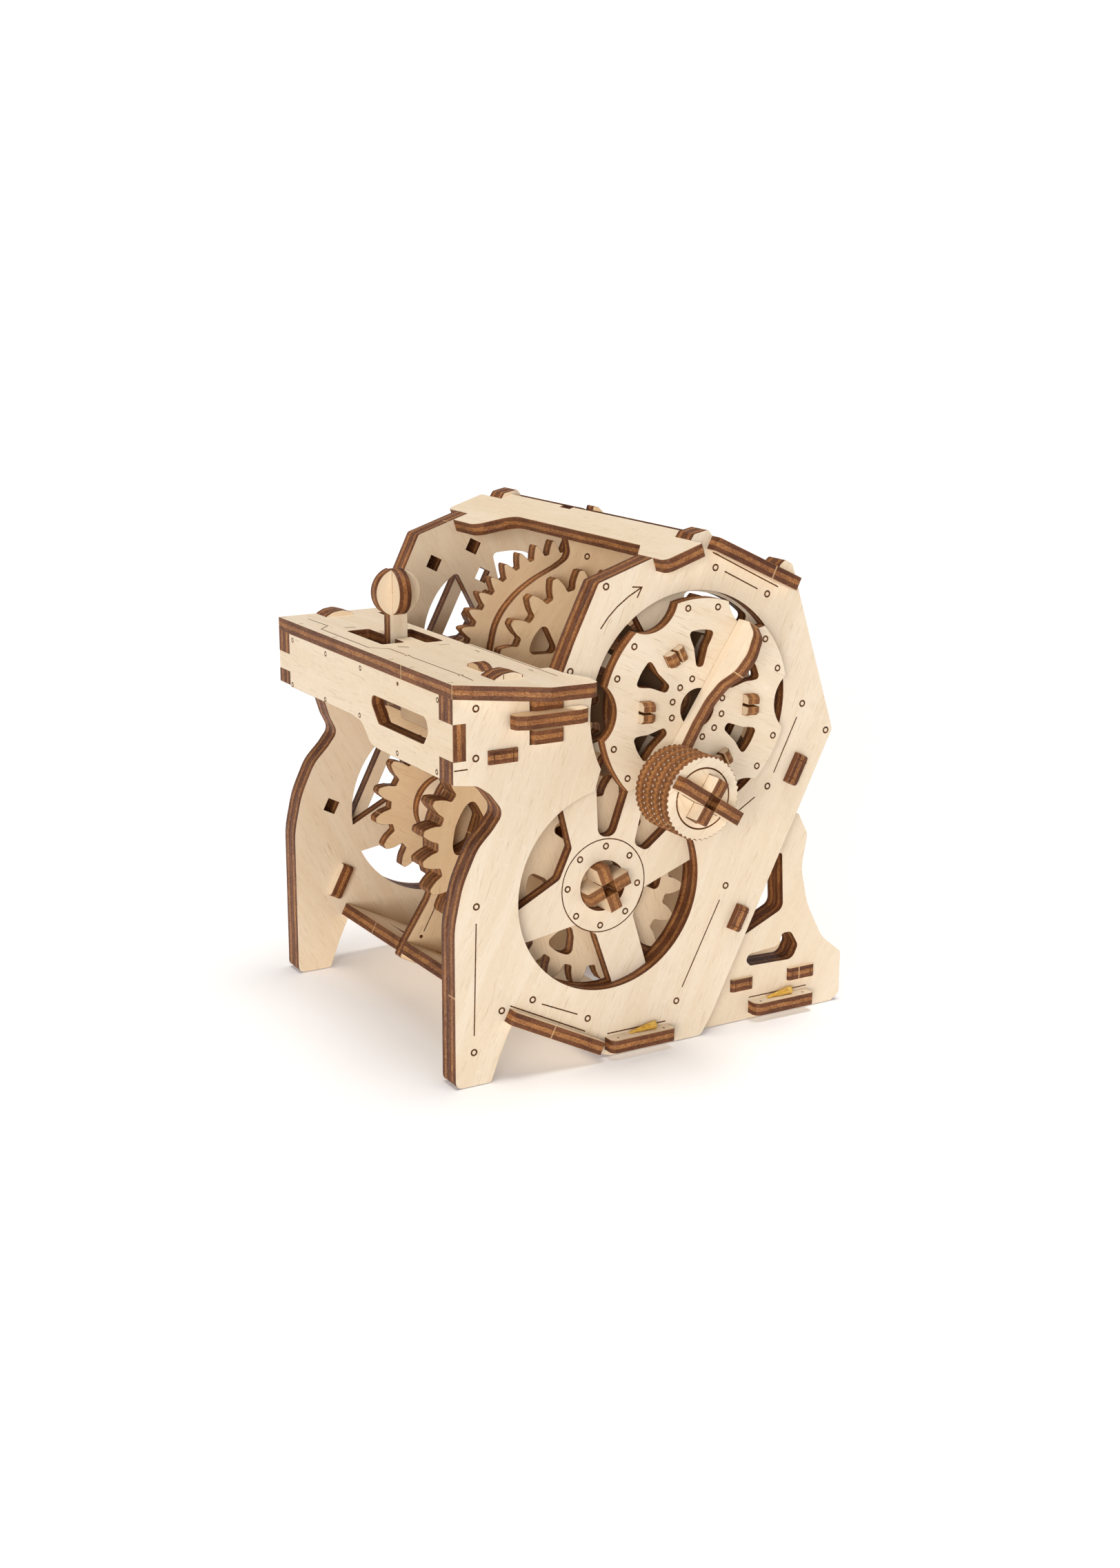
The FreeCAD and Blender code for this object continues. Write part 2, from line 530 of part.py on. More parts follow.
# roof plate, drawn in (x, distance up the slope)
roof = poly([(LI, 13.1), (-107.0, 13.1, 4.0), (-96.0, 13.1, 7.0), (-88.0, 23.5, 9.0), (-78.0, 23.5), (-14.0, 23.5, 1.5), (RI, 18.6), (6.0, 18.6, 2.4), (6.0, 32.0, 0.8),
             (RI, 32.0), (RI, 36.0), (LI, 36.0), (LI, 32.0), (-124.5, 32.0, 0.8), (-124.5, 18.6, 2.4), (LI, 18.6)])
roof = minus(roof, [poly([(MX0 - 6.5, 34.6), (MX0 - 0.5, 34.6), (MX0 - 0.5, 37.0), (MX0 - 6.5, 37.0)])])
roof_y, roof_z = roof_pt(0, -T)
sloped("roof_plate", roof, roof_y, roof_z, "Sizes.roof_slope")

rear = poly([(LO - 4, 0.0, 0.8), (4.0, 0.0, 0.8), (4.0, 32.7, 0.8), (RO, 32.7), (RO, 26.4), (RI, 26.4), (RI, 32.7), (LI, 32.7), (LI, 26.4), (LO, 26.4), (LO, 32.7), (LO - 4, 32.7, 0.8)])
rear = minus(rear, [poly([(MX0, -1.0), (MX1, -1.0), (MX1, 6.0), (MX0, 6.0)])])
rear_y, rear_z = rear_pt(0, 0)
sloped("upper_rear_plate", rear, rear_y, rear_z, "-Sizes.rear_slope")

low = poly([(LO - 3.6, 0.0, 1.2), (3.6, 0.0, 1.2), (3.6, 34.0, 0.6), (LO - 3.6, 34.0, 0.6)])
low = minus(low, [poly([(MX0, -1.0), (MX1, -1.0), (MX1, 12.0), (MX0, 12.0)])])
sloped("lower_front_plate", low, LOW[0], LOW[1], "-Sizes.shaft_lean")


def brace(label, cy, cz, off, body0, body1, ten0, ten1):
    """Sheet that follows the lean of the shafts, its front face at off behind an axis."""
    face = poly([(LI, body0, 0.0), (RI, body0), (RI, ten0), (RO + 2.0, ten0, 1.0), (RO + 2.0, ten1, 1.0), (RI, ten1), (RI, body1), (LI, body1), (LI, ten1),
                 (LO - 2.0, ten1, 1.0), (LO - 2.0, ten0, 1.0), (LI, ten0)])
    y0, z0 = cy + (off + T) * VV[0], cz + (off + T) * VV[1]
    sloped(label, face, y0, z0, "90 - Sizes.shaft_lean")


brace("upper_rear_brace", UY, UZ, 42.95, -12.5, 4.5, -8.4, 1.1)
brace("lower_rear_brace", LY, LZ, 45.3, -2.0, 19.0, 2.2, 10.2)

RL, LL = RI - T, LI + T                                     # inner faces of the two leg liners
base_shelf = poly([(LI, 93.0, 0.0), (RI, 93.0), (RI, 97.0), (-3.0, 97.0, 0.8), (-3.0, 105.0, 0.8), (RL, 105.0), (RL, 118.5), (-3.0, 118.5, 0.8), (-3.0, 128.4, 0.8), (RL, 128.4),
                   (RL, 132.0), (LL, 132.0), (LL, 128.4), (LO + 3.0, 128.4, 0.8), (LO + 3.0, 118.5, 0.8), (LL, 118.5), (LL, 105.0), (LO + 3.0, 105.0, 0.8), (LO + 3.0, 97.0, 0.8), (LI, 97.0)])
level("base_shelf", base_shelf, "10")
level("base_tie_front", poly([(LO - 4.5, 49.5, 2.2), (4.5, 49.5, 2.2), (4.5, 71.5, 1.0), (LO - 4.5, 71.5, 1.0)]), "2.2")
level("base_tie_rear", poly([(LO - 0.3, 104.0, 2.2), (0.3, 104.0, 2.2), (0.3, 126.0, 1.0), (LO - 0.3, 126.0, 1.0)]), "2")

# tongue of a small stop that passes through the left wall
stop = poly([(LI + 2.0, -41.5, 1.2), (LI + 2.0, -30.2, 1.2), (LO, -30.2), (LO, -27.5, 0.5), (LO - 4.0, -27.5, 1.2), (LO - 4.0, -44.2, 1.2), (LO, -44.2, 0.5), (LO, -41.5)])
sloped("left_stop_tab", stop, LY - 19.3 * VV[0], LZ - 19.3 * VV[1], "90 - Sizes.shaft_lean")

# toothpick wedges on the ends of the base ties
picks = []
for i, (px, py, pz) in enumerate(((1.35, 57.2, 6.2), (LO - 1.35, 57.2, 6.2), (-2.65, 110.2, 6.0), (LO + 2.65, 110.2, 6.0))):
    cone = doc.addObject("Part::Cone", "pick%d" % (i + 1))
    cone.setExpression("Radius1", "Sizes.pick_small")
    cone.setExpression("Radius2", "Sizes.pick_large")
    cone.setExpression("Height", "Sizes.pick_length")
    rise = math.degrees(math.atan2(S["pick_large"] - S["pick_small"], S["pick_length"]))
    cone.Placement = Placement(Vector(0, 0, 0), Rotation(Vector(1, 0, 0), -90.0 + rise))
    cone.setExpression("Placement.Base.x", "%.4f - Sizes.origin_x" % px)
    cone.setExpression("Placement.Base.y", "%.4f - Sizes.origin_y" % py)
    cone.setExpression("Placement.Base.z", "%.4f + Sizes.pick_small + 0.01" % pz)
    picks.append(cone)
group("toothpick_wedges", picks)


# ------------------------------------------------------------------ shafts of two crossed blades
def shaft(label_a, label_b, x0, x1, cy, cz, angle, half, hollow=5.0, width=None):
    """Two half-lapped blades; each end keeps a square hollow in its middle."""
    mid = (x0 + x1) / 2.0
    t2 = T / 2.0
    a = poly([(x0, -half, 0.6), (x1, -half, 0.6), (x1, half, 0.6), (x0, half, 0.6)])
    b = a.copy()
    a = minus(a, [poly([(mid, -t2), (x1 + 1, -t2), (x1 + 1, t2), (mid, t2)]), poly([(x0 - 1, -t2), (x0 + hollow, -t2), (x0 + hollow, t2), (x0 - 1, t2)])])
    b = minus(b, [poly([(x0 - 1, -t2), (mid, -t2), (mid, t2), (x0 - 1, t2)]), poly([(x1 - hollow, -t2), (x1 + 1, -t2), (x1 + 1, t2), (x1 - hollow, t2)])])
    blade(label_a, a, cy, cz, "%.3f" % angle)
    blade(label_b, b, cy, cz, "%.3f" % (angle + 90.0))


LOWER = ("Sizes.lower_y - Sizes.origin_y", "Sizes.lower_z")
UPPER = ("Sizes.upper_y - Sizes.origin_y", "Sizes.upper_z")
IDLER = ("Sizes.idler_y - Sizes.origin_y", "Sizes.idler_z")
shaft("lower_shaft_blade_a", "lower_shaft_blade_b", LO, 0.0, LOWER[0], LOWER[1], SHAFT_ANGLE, S["blade_half"])
OUT_X1 = -53.2
shaft("output_shaft_blade_a", "output_shaft_blade_b", LO, OUT_X1, UPPER[0], UPPER[1], SHAFT_ANGLE, S["blade_half"])
shaft("idler_axle_blade_a", "idler_axle_blade_b", S["left_inner_x"], -101.6, IDLER[0], IDLER[1], 0.0, 4.6, hollow=3.0)

# ------------------------------------------------------------------ gears
CM, FM = S["coarse_module"], S["fine_module"]
SHAFT_CROSS = cross_face(SHAFT_ANGLE)
BORE = disc(0, 0, S["shaft_bore"])

phase_wide = 6.5
phase_input = mates_phase(TO_UPPER, phase_wide, 20, 20)
phase_reverse = 17.5
phase_slow = 6.0
phase_fine = mates_phase(TO_UPPER + 180.0, phase_slow, 40, 22)
line_idler = math.degrees(math.atan2(S["idler_z"] - LZ, S["idler_y"] - LY))
phase_idler = mates_phase(line_idler, phase_reverse, 15, 12)
line_out = math.degrees(math.atan2(UZ - S["idler_z"], UY - S["idler_y"]))
phase_out = mates_phase(line_out, phase_idler, 12, 12)


def windows(kind, count, first):
    out = []
    for k in range(count):
        a = first + 360.0 * k / count
        if kind == "oval":
            pts = [(12.6, -20, 2.0), (17.0, -26, 4.0), (20.0, -27, 3.0), (20.8, -18, 6.0), (21.0, 0, 14.0), (20.8, 18, 6.0), (20.0, 27, 3.0), (17.0, 26, 4.0), (12.6, 20, 2.0), (11.8, 0, 12.0)]
        elif kind == "trapezoid":
            pts = [(14.6, 0, 1.5), (17.5, -9, 3.0), (22.8, -13, 1.6), (23.4, 0, 30.0), (22.8, 13, 1.6), (17.5, 9, 3.0)]
        elif kind == "triangle":
            pts = [(11.6, 0, 1.6), (21.6, 15, 1.8), (22.2, 0, 30.0), (21.6, -15, 1.8)]
        else:
            pts = [(13.0, -12, 1.5), (29.0, -17, 2.0), (30.0, 0, 60.0), (29.0, 17, 2.0), (13.0, 12, 1.5), (12.4, 0, 30.0)]
        out.append(poly(polar(0, 0, [(p[0], a + p[1], p[2]) for p in pts])))
    return out


counter_input = minus(gear_face(CM, 20, phase_wide, 0.84), [SHAFT_CROSS] + windows("trapezoid", 6, 57.0))
wheel("counter_input_gear", counter_input, "Sizes.gear_input_x", "lower")
counter_wide = minus(gear_face(CM, 20, phase_wide, 0.84), [SHAFT_CROSS] + windows("oval", 4, 160.0))
wheel("counter_wide_gear_left", counter_wide, "Sizes.gear_wide_x", "lower")
wheel("counter_wide_gear_right", counter_wide, "Sizes.gear_wide_x + Sizes.ply", "lower")
counter_fine = minus(gear_face(FM, 22, phase_fine, 1.0, thin=0.24), [SHAFT_CROSS])
wheel("counter_fine_gear", counter_fine, "Sizes.gear_fine_x", "lower")
counter_reverse = minus(gear_face(CM, 15, phase_reverse, 0.84), [SHAFT_CROSS])
wheel("counter_reverse_gear", counter_reverse, "Sizes.gear_reverse_x", "lower")

PEG_IN, PEG_OUT, PEG_HALF = 16.0, 20.0, 3.1
peg_holes = []
for k in (1, 2, 4, 5):
    peg_holes.append(box2((0, 0), 57.5 + 60 * k, PEG_IN, PEG_OUT, -PEG_HALF, PEG_HALF))
ARM_ANGLE = 57.0
for sgn in (0.0, 180.0):
    peg_holes.append(box2((0, 0), ARM_ANGLE + sgn, 12.5, 20.8, -T / 2, T / 2))

input_gear = minus(gear_face(CM, 20, phase_input, 0.84), [disc(0, 0, 5.8)] + peg_holes)
wheel("input_gear", input_gear, "Sizes.gear_input_x", "upper")
direct_gear = minus(gear_face(CM, 20, phase_input, 0.84), [BORE] + windows("triangle", 5, 147.0))
wheel("direct_gear", direct_gear, "Sizes.gear_direct_x", "upper")
slow_gear = minus(gear_face(FM, 40, phase_slow, 1.04, thin=0.24), [BORE] + windows("long", 5, 30.0))
wheel("slow_gear", slow_gear, "Sizes.gear_fine_x", "upper")
reverse_gear = minus(gear_face(CM, 12, phase_out, 0.84), [BORE])
wheel("reverse_gear", reverse_gear, "Sizes.gear_reverse_x", "upper")
IDLER_R = 5.10
reverse_idler = minus(gear_face(CM, 12, phase_idler, 0.84), [disc(0, 0, IDLER_R)])
wheel("reverse_idler_gear", reverse_idler, "Sizes.gear_reverse_x", "idler")

collar = minus(disc(0, 0, 10.6), [SHAFT_CROSS])


def collars(label, xs, which, face):
    group(label, [wheel("%s_%d" % (label, i + 1), face, "%.3f" % x, which, node=False) for i, x in enumerate(xs)])


collars("lower_shaft_collars", [-105.9, -79.2, -58.0, -16.6], "lower", collar)
collars("output_shaft_collars", [-105.9, -66.4, -58.0], "upper", collar)
wheel("idler_collar", minus(disc(0, 0, 7.4), [cross_face(0.0, half=4.6)]), "-105.9", "idler")

# sliding dog sleeve on the output shaft, and the gap around the blades that lets it slide
slide_cross = cross_face(SHAFT_ANGLE, half=S["blade_half"] + 0.08, thick=T + 0.16)
dog_pts = []
for k in range(6):
    a = 60.0 * k
    dog_pts += [(14.2, a - 16, 0.8), (14.6, a, 20.0), (14.2, a + 16, 0.8), (11.4, a + 19, 0.8), (11.4, a + 41, 0.8)]
dog_face = minus(poly(polar(0, 0, dog_pts)), [slide_cross])
core_face = minus(disc(0, 0, 9.6), [slide_cross])
wheel("sleeve_dog_left", dog_face, "Sizes.sleeve_x", "upper")
group("sleeve_core", [wheel("sleeve_core_1", core_face, "Sizes.sleeve_x + Sizes.ply", "upper", node=False),
                      wheel("sleeve_core_2", core_face, "Sizes.sleeve_x + 2 * Sizes.ply", "upper", node=False)])
wheel("sleeve_dog_right", dog_face, "Sizes.sleeve_x + 3 * Sizes.ply", "upper")

# ------------------------------------------------------------------ crank drum
lobes = []
for k in range(6):
    a = 27.5 + 60.0 * k
    lobes.append(a)
edges = []


def pv(r, deg):
    return Vector(r * math.cos(math.radians(deg)), r * math.sin(math.radians(deg)), 0)


for a in lobes:
    edges.append(Part.Arc(pv(S["disc_lobe"], a - 16), pv(S["disc_lobe"], a), pv(S["disc_lobe"], a + 16)).toShape())
    edges.append(Part.Arc(pv(S["disc_lobe"], a + 16), pv(S["disc_dip"], a + 30), pv(S["disc_lobe"], a + 44)).toShape())
crank_face = Part.Face(Part.Wire(edges))
bells = []
for a in lobes:
    rows = [(12.0, 1.1, 1.1), (14.6, 1.7, 3.0), (17.6, 2.3, 6.0), (19.8, 3.4, 3.0), (22.2, 4.3, 1.4), (22.9, 0.0, 20.0)]
    pts = []
    for r, w, c in rows:
        pts.append((r, w, c))
    for r, w, c in reversed(rows[:-1]):
        pts.append((r, -w, c))
    bells.append(poly(local((0, 0), a, pts)))
crank_face = minus(crank_face, [disc(0, 0, 5.8)] + peg_holes + bells)
wheel("crank_disc", crank_face, "0", "upper")

spacer_pts = [(-12.4, -PEG_HALF), (-8.4, -PEG_HALF), (-8.4, -6.1), (0.0, -6.1), (0.0, -PEG_HALF), (5.6, -PEG_HALF), (6.8, -2.2), (6.8, -0.35), (-1.2, -0.35, 0.3),
              (-1.2, 0.35, 0.3), (6.8, 0.35), (6.8, 2.2), (5.6, PEG_HALF), (0.0, PEG_HALF), (0.0, 6.1), (-8.4, 6.1), (-8.4, PEG_HALF), (-12.4, PEG_HALF)]
spacer_face = poly(spacer_pts)
spacers = []
for i, k in enumerate((1, 2, 4, 5)):
    ang = 57.5 + 60.0 * k
    rad = math.radians(ang)
    # the sheet is square to the radius; its outer face lies at the larger peg radius
    spacers.append(plate("drum_spacer_%d" % (i + 1), "XY_Plane", spacer_face,
                         ("-Sizes.origin_x", "Sizes.upper_y + %.6f - Sizes.origin_y" % (PEG_IN * math.cos(rad)), "Sizes.upper_z + %.6f" % (PEG_IN * math.sin(rad))),
                         turn=(Vector(1, 0, 0), "%.3f" % (ang - 90.0)), node=False))
group("drum_spacers", spacers)

KS = -S["knob_throw"]
BH = 6.75                                     # half width of the knob axle blades
arm_pts = [(4.0, 28.3, 0.4), (9.2, 28.3, 1.2), (13.8, 25.4, 4.0), (15.8, 19.0, 6.0), (14.6, 13.2, 6.0), (10.2, 8.6, 6.0), (8.3, 3.0, 10.0), (8.0, -5.0, 20.0), (8.6, -13.0, 3.0),
           (10.1, KS + BH + 1.2), (10.1, KS + BH), (31.5, KS + BH, 0.6), (31.5, KS + T / 2), (19.5, KS + T / 2), (19.5, KS - T / 2), (31.5, KS - T / 2), (31.5, KS - BH, 0.6),
           (10.1, KS - BH), (4.0, KS - BH, 1.5), (4.0, -20.8), (-12.4, -20.8), (-12.4, -12.5), (4.0, -12.5), (4.0, 12.5), (-12.4, 12.5), (-12.4, 20.8), (4.0, 20.8)]
arm_face = poly(arm_pts)
blade("crank_arm", arm_face, UPPER[0], UPPER[1], "%.3f" % ARM_ANGLE)

knob_y = UY + KS * math.cos(math.radians(ARM_ANGLE))
knob_z = UZ + KS * math.sin(math.radians(ARM_ANGLE))
cap_face = poly([(26.9, -11.6, 0.6), (31.5, -11.6, 0.6), (31.5, -T / 2), (27.5, -T / 2), (27.5, T / 2), (31.5, T / 2), (31.5, 11.6, 0.6), (26.9, 11.6, 0.6), (26.9, BH), (10.1, BH), (10.1, T / 2),
                 (19.5, T / 2), (19.5, -T / 2), (10.1, -T / 2), (10.1, -BH), (26.9, -BH)])
blade("knob_axle_blade", cap_face, "%.6f - Sizes.origin_y" % knob_y, "%.6f" % knob_z, "%.3f" % (ARM_ANGLE + 90.0))


def knurl(radius, count, depth, phase, hole):
    pts = []
    for k in range(count):
        a = phase + 360.0 * k / count
        pts.append((radius, a, 0.5))
        pts.append((radius - depth, a + 180.0 / count, 0.4))
    return minus(poly(polar(0, 0, pts)), [disc(0, 0, hole)])


def knob_sheet(label, x, phase, hole, node=False):
    return plate(label, "YZ_Plane", knurl(S["knob_radius"], 44, 0.75, phase, hole), ("%.3f - Sizes.origin_x" % x, "%.6f - Sizes.origin_y" % knob_y, "%.6f" % knob_z), node=node)


knob_sheet("knob_front_disc", 22.5, 0.0, 8.78, node=True)
group("knob_discs", [knob_sheet("knob_disc_%d" % (i + 1), 10.5 + 4.0 * i, (4.1, 0.0, 4.1)[i], 7.12) for i in range(3)])
# bushing in the front disc, held by the two blades
hub_face = minus(disc(0, 0, 8.54), [cross_face(ARM_ANGLE, half=BH + 0.06, thick=T + 0.12)])
plate("knob_bushing", "YZ_Plane", hub_face, ("22.55 - Sizes.origin_x", "%.6f - Sizes.origin_y" % knob_y, "%.6f" % knob_z), node=True)


# ------------------------------------------------------------------ gear change
def rail(label, face, z_expr):
    return level(label, face, z_expr)


RX0 = -100.0
fork_x = S["sleeve_x"] + T + 2.0               # left face of the fork
tab = [(fork_x, 34.3), (fork_x, 34.3)]
rail_flat = poly([(RX0, 24.4, 1.0), (1.5, 24.4, 1.0), (1.5, 34.3, 1.0), (RX0, 34.3, 1.0)])
rail("shift_rail_lower", rail_flat, "Sizes.rail_low_z")
bar = poly([(RX0, 24.4, 1.0), (0.4, 24.4), (0.4, 19.0), (1.2, 16.6, 1.2), (4.2, 17.2, 1.6), (5.5, 20.5, 2.0), (5.5, 37.6, 2.4), (4.4, 40.4, 1.6), (0.4, 40.6, 0.6), (0.4, 34.3), (RX0, 34.3, 1.0)])
rail("shift_rail_bar", bar, "Sizes.rail_bar_z")
rail("shift_rail_upper", rail_flat, "Sizes.rail_top_z")

fork = poly([(22.4, 97.8, 0.5), (36.6, 97.8, 4.0), (46.0, 98.4, 8.0), (58.0, 93.0, 6.0), (70.0, 87.4, 4.0), (78.0, 87.2, 2.0), (78.0, 92.0, 0.5), (UY, 92.7), (UY, 113.5), (78.0, 114.2, 0.5), (78.0, 119.0, 2.0),
             (70.0, 118.8, 4.0), (60.0, 112.0, 6.0), (48.0, 106.0, 8.0), (36.6, 106.4, 3.0), (36.6, 112.4, 0.5), (22.4, 112.4, 0.5)])
fork = minus(fork, [disc(UY, UZ, 10.4), poly([(24.4, 97.0), (34.3, 97.0), (34.3, 101.8), (24.4, 101.8)]), poly([(24.4, 103.3), (34.3, 103.3), (34.3, 111.3), (24.4, 111.3)])])
wall("shift_fork", fork, "Sizes.sleeve_x + Sizes.ply + 2")

LEVER_Y, HEAD_Z, HEAD_R = 18.3, 130.5, 7.3
stem = poly([(15.3, 98.6, 1.4), (21.2, 98.6, 1.4), (21.2, 128.0), (15.3, 128.0)])
lever_face = plus(stem, [disc(LEVER_Y, HEAD_Z, HEAD_R)])
lever_face = minus(lever_face, [poly([(LEVER_Y - 2, HEAD_Z), (LEVER_Y + 2, HEAD_Z), (LEVER_Y + 2, HEAD_Z + 10), (LEVER_Y - 2, HEAD_Z + 10)]), disc(LEVER_Y, 104.5, 1.08)])
wall("lever_plate", lever_face, "Sizes.lever_x")
cross = minus(disc(-71.5, HEAD_Z, 7.0), [poly([(-73.5, HEAD_Z - 10), (-69.5, HEAD_Z - 10), (-69.5, HEAD_Z), (-73.5, HEAD_Z)])])
plate("lever_cross_disc", "XZ_Plane", cross, ("-Sizes.origin_x", "%.3f + 2 - Sizes.origin_y" % LEVER_Y, "0"))
bracket = minus(poly([(11.0, 97.6), (23.4, 97.6), (23.4, 108.0, 3.0), (20.0, 112.0, 3.0), (16.0, 112.0, 3.0), (11.0, 106.0, 3.0)]), [disc(LEVER_Y, 104.5, 1.0)])
group("lever_brackets", [wall("lever_bracket_1", bracket, "-79.0", node=False), wall("lever_bracket_2", bracket, "-68.0", node=False)])
pin = doc.addObject("Part::Cylinder", "lever_pivot_pin")
pin.Label = "lever_pivot_pin"
pin.setExpression("Radius", "Sizes.pin_radius")
pin.Height = 16.6
pin.Placement = Placement(Vector(0, 0, 0), Rotation(Vector(0, 1, 0), 90.0))
pin.setExpression("Placement.Base.x", "-79.8 - Sizes.origin_x")
pin.setExpression("Placement.Base.y", "%.3f - Sizes.origin_y" % LEVER_Y)
pin.setExpression("Placement.Base.z", "104.5")
NODES.append(("lever_pivot_pin", pin))

# ------------------------------------------------------------------ check and write
doc.recompute()
faults = []
for obj in doc.Objects:
    if "Invalid" in obj.State or "Error" in obj.State:
        faults.append("%s: %s" % (obj.Label, obj.State))
for obj in doc.Objects:
    if obj.TypeId == "PartDesign::Body":
        want = obj.FlatArea * T
        if obj.Shape.isNull() or not obj.Shape.isValid() or len(obj.Shape.Solids) != 1 or abs(obj.Shape.Volume - want) > 1e-3 * want:
            faults.append("%s: volume %.2f, wanted %.2f" % (obj.Label, 0 if obj.Shape.isNull() else obj.Shape.Volume, want))
for name, obj in NODES:
    if obj.Shape.isNull() or not obj.Shape.isValid() or not obj.Shape.Solids:
        faults.append("%s: bad shape" % name)
if faults:
    raise SystemExit("\n".join(faults))

os.makedirs("parts", exist_ok=True)
for old in os.listdir("parts"):
    if old.endswith(".step"):
        os.remove(os.path.join("parts", old))
lo, hi = [1e9] * 3, [-1e9] * 3
for name, obj in NODES:
    obj.Shape.exportStep("parts/%s.step" % name)
    b = obj.Shape.BoundBox
    lo = [min(lo[0], b.XMin), min(lo[1], b.YMin), min(lo[2], b.ZMin)]
    hi = [max(hi[0], b.XMax), max(hi[1], b.YMax), max(hi[2], b.ZMax)]
print("nodes", len(NODES))
print("box", [round(c, 3) for c in lo], [round(c, 3) for c in hi])
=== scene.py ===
import math

import bmesh
import bpy
from mathutils import Matrix, Vector


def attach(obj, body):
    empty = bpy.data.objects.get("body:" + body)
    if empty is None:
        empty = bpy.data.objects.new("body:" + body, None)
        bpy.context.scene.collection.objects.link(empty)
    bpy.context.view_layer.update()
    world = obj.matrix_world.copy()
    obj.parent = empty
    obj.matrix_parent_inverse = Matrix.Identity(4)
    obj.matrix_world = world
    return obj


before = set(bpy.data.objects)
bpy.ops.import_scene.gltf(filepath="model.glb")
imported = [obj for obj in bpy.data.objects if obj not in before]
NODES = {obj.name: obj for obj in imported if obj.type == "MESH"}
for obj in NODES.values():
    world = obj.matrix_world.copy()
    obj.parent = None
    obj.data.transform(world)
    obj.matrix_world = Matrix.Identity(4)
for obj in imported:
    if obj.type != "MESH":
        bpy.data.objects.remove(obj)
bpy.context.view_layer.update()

# Lengths below are millimetres in the working coordinates of the model:
# x = 0 is the outer face of the right wall, y = 0 the front edge of the legs, z = 0 the table.
OX, OY = 46.5, -69.6
T = 4.0
LY, LZ = 50.7, 51.6            # lower shaft
UY, UZ = 76.94, 103.10         # upper shaft
IY, IZ = 44.76, 90.15          # idler
ROOF, REAR, LEAN = math.radians(18.0), math.radians(25.2), math.radians(27.0)
UU = (math.sin(LEAN), math.cos(LEAN))
VV = (math.cos(LEAN), -math.sin(LEAN))
KNOB_Y = UY - 23.7 * math.cos(math.radians(57.0))
KNOB_Z = UZ - 23.7 * math.sin(math.radians(57.0))


def at(x, y, z):
    return Vector(((x + OX) / 1000.0, (y + OY) / 1000.0, z / 1000.0))


def lin(r, g, b):
    """0-255 screen colour to linear."""
    out = []
    for c in (r, g, b):
        c /= 255.0
        out.append(c / 12.92 if c <= 0.04045 else ((c + 0.055) / 1.055) ** 2.4)
    return tuple(out) + (1.0,)


# ------------------------------------------------------------------ node helpers
class Tree:
    def __init__(self, tree):
        self.t = tree
        self.n = 0

    def add(self, kind, **props):
        node = self.t.nodes.new(kind)
        node.location = (200 * (self.n % 12), -180 * (self.n // 12))
        self.n += 1
        for k, v in props.items():
            setattr(node, k, v)
        return node

    def put(self, socket, value):
        if isinstance(value, bpy.types.NodeSocket):
            self.t.links.new(value, socket)
        else:
            socket.default_value = value

    def math(self, op, a, b=None, c=None, clamp=False):
        node = self.add("ShaderNodeMath", operation=op, use_clamp=clamp)
        for i, v in enumerate((a, b, c)):
            if v is not None:
                self.put(node.inputs[i], v)
        return node.outputs[0]

    def dot(self, v, d):
        node = self.add("ShaderNodeVectorMath", operation="DOT_PRODUCT")
        self.put(node.inputs[0], v)
        node.inputs[1].default_value = d
        return node.outputs["Value"]

    def vec(self, x, y, z):
        node = self.add("ShaderNodeCombineXYZ")
        for i, v in enumerate((x, y, z)):
            self.put(node.inputs[i], v)
        return node.outputs[0]

    def noise(self, v, scale=1.0, detail=2.0, rough=0.5, distort=0.0):
        node = self.add("ShaderNodeTexNoise")
        self.put(node.inputs["Vector"], v)
        node.inputs["Scale"].default_value = scale
        node.inputs["Detail"].default_value = detail
        node.inputs["Roughness"].default_value = rough
        node.inputs["Distortion"].default_value = distort
        return node.outputs["Fac"]

    def smooth(self, v, lo, hi, a=0.0, b=1.0):
        node = self.add("ShaderNodeMapRange", interpolation_type="SMOOTHSTEP")
        self.put(node.inputs["Value"], v)
        node.inputs["From Min"].default_value = lo
        node.inputs["From Max"].default_value = hi
        node.inputs["To Min"].default_value = a
        node.inputs["To Max"].default_value = b
        return node.outputs["Result"]

    def mix(self, f, a, b, blend="MIX"):
        node = self.add("ShaderNodeMix", data_type="RGBA", blend_type=blend)
        self.put(node.inputs[0], f)
        self.put(node.inputs[6], a)
        self.put(node.inputs[7], b)
        return node.outputs[2]


def group(name, ins, outs):
    g = bpy.data.node_groups.new(name, "ShaderNodeTree")
    for label, kind in ins:
        g.interface.new_socket(name=label, in_out="INPUT", socket_type=kind)
    for label, kind in outs:
        g.interface.new_socket(name=label, in_out="OUTPUT", socket_type=kind)
    t = Tree(g)
    gi, go = t.add("NodeGroupInput"), t.add("NodeGroupOutput")
    return g, t, gi.outputs, go.inputs


F, C3 = "NodeSocketFloat", "NodeSocketColor"

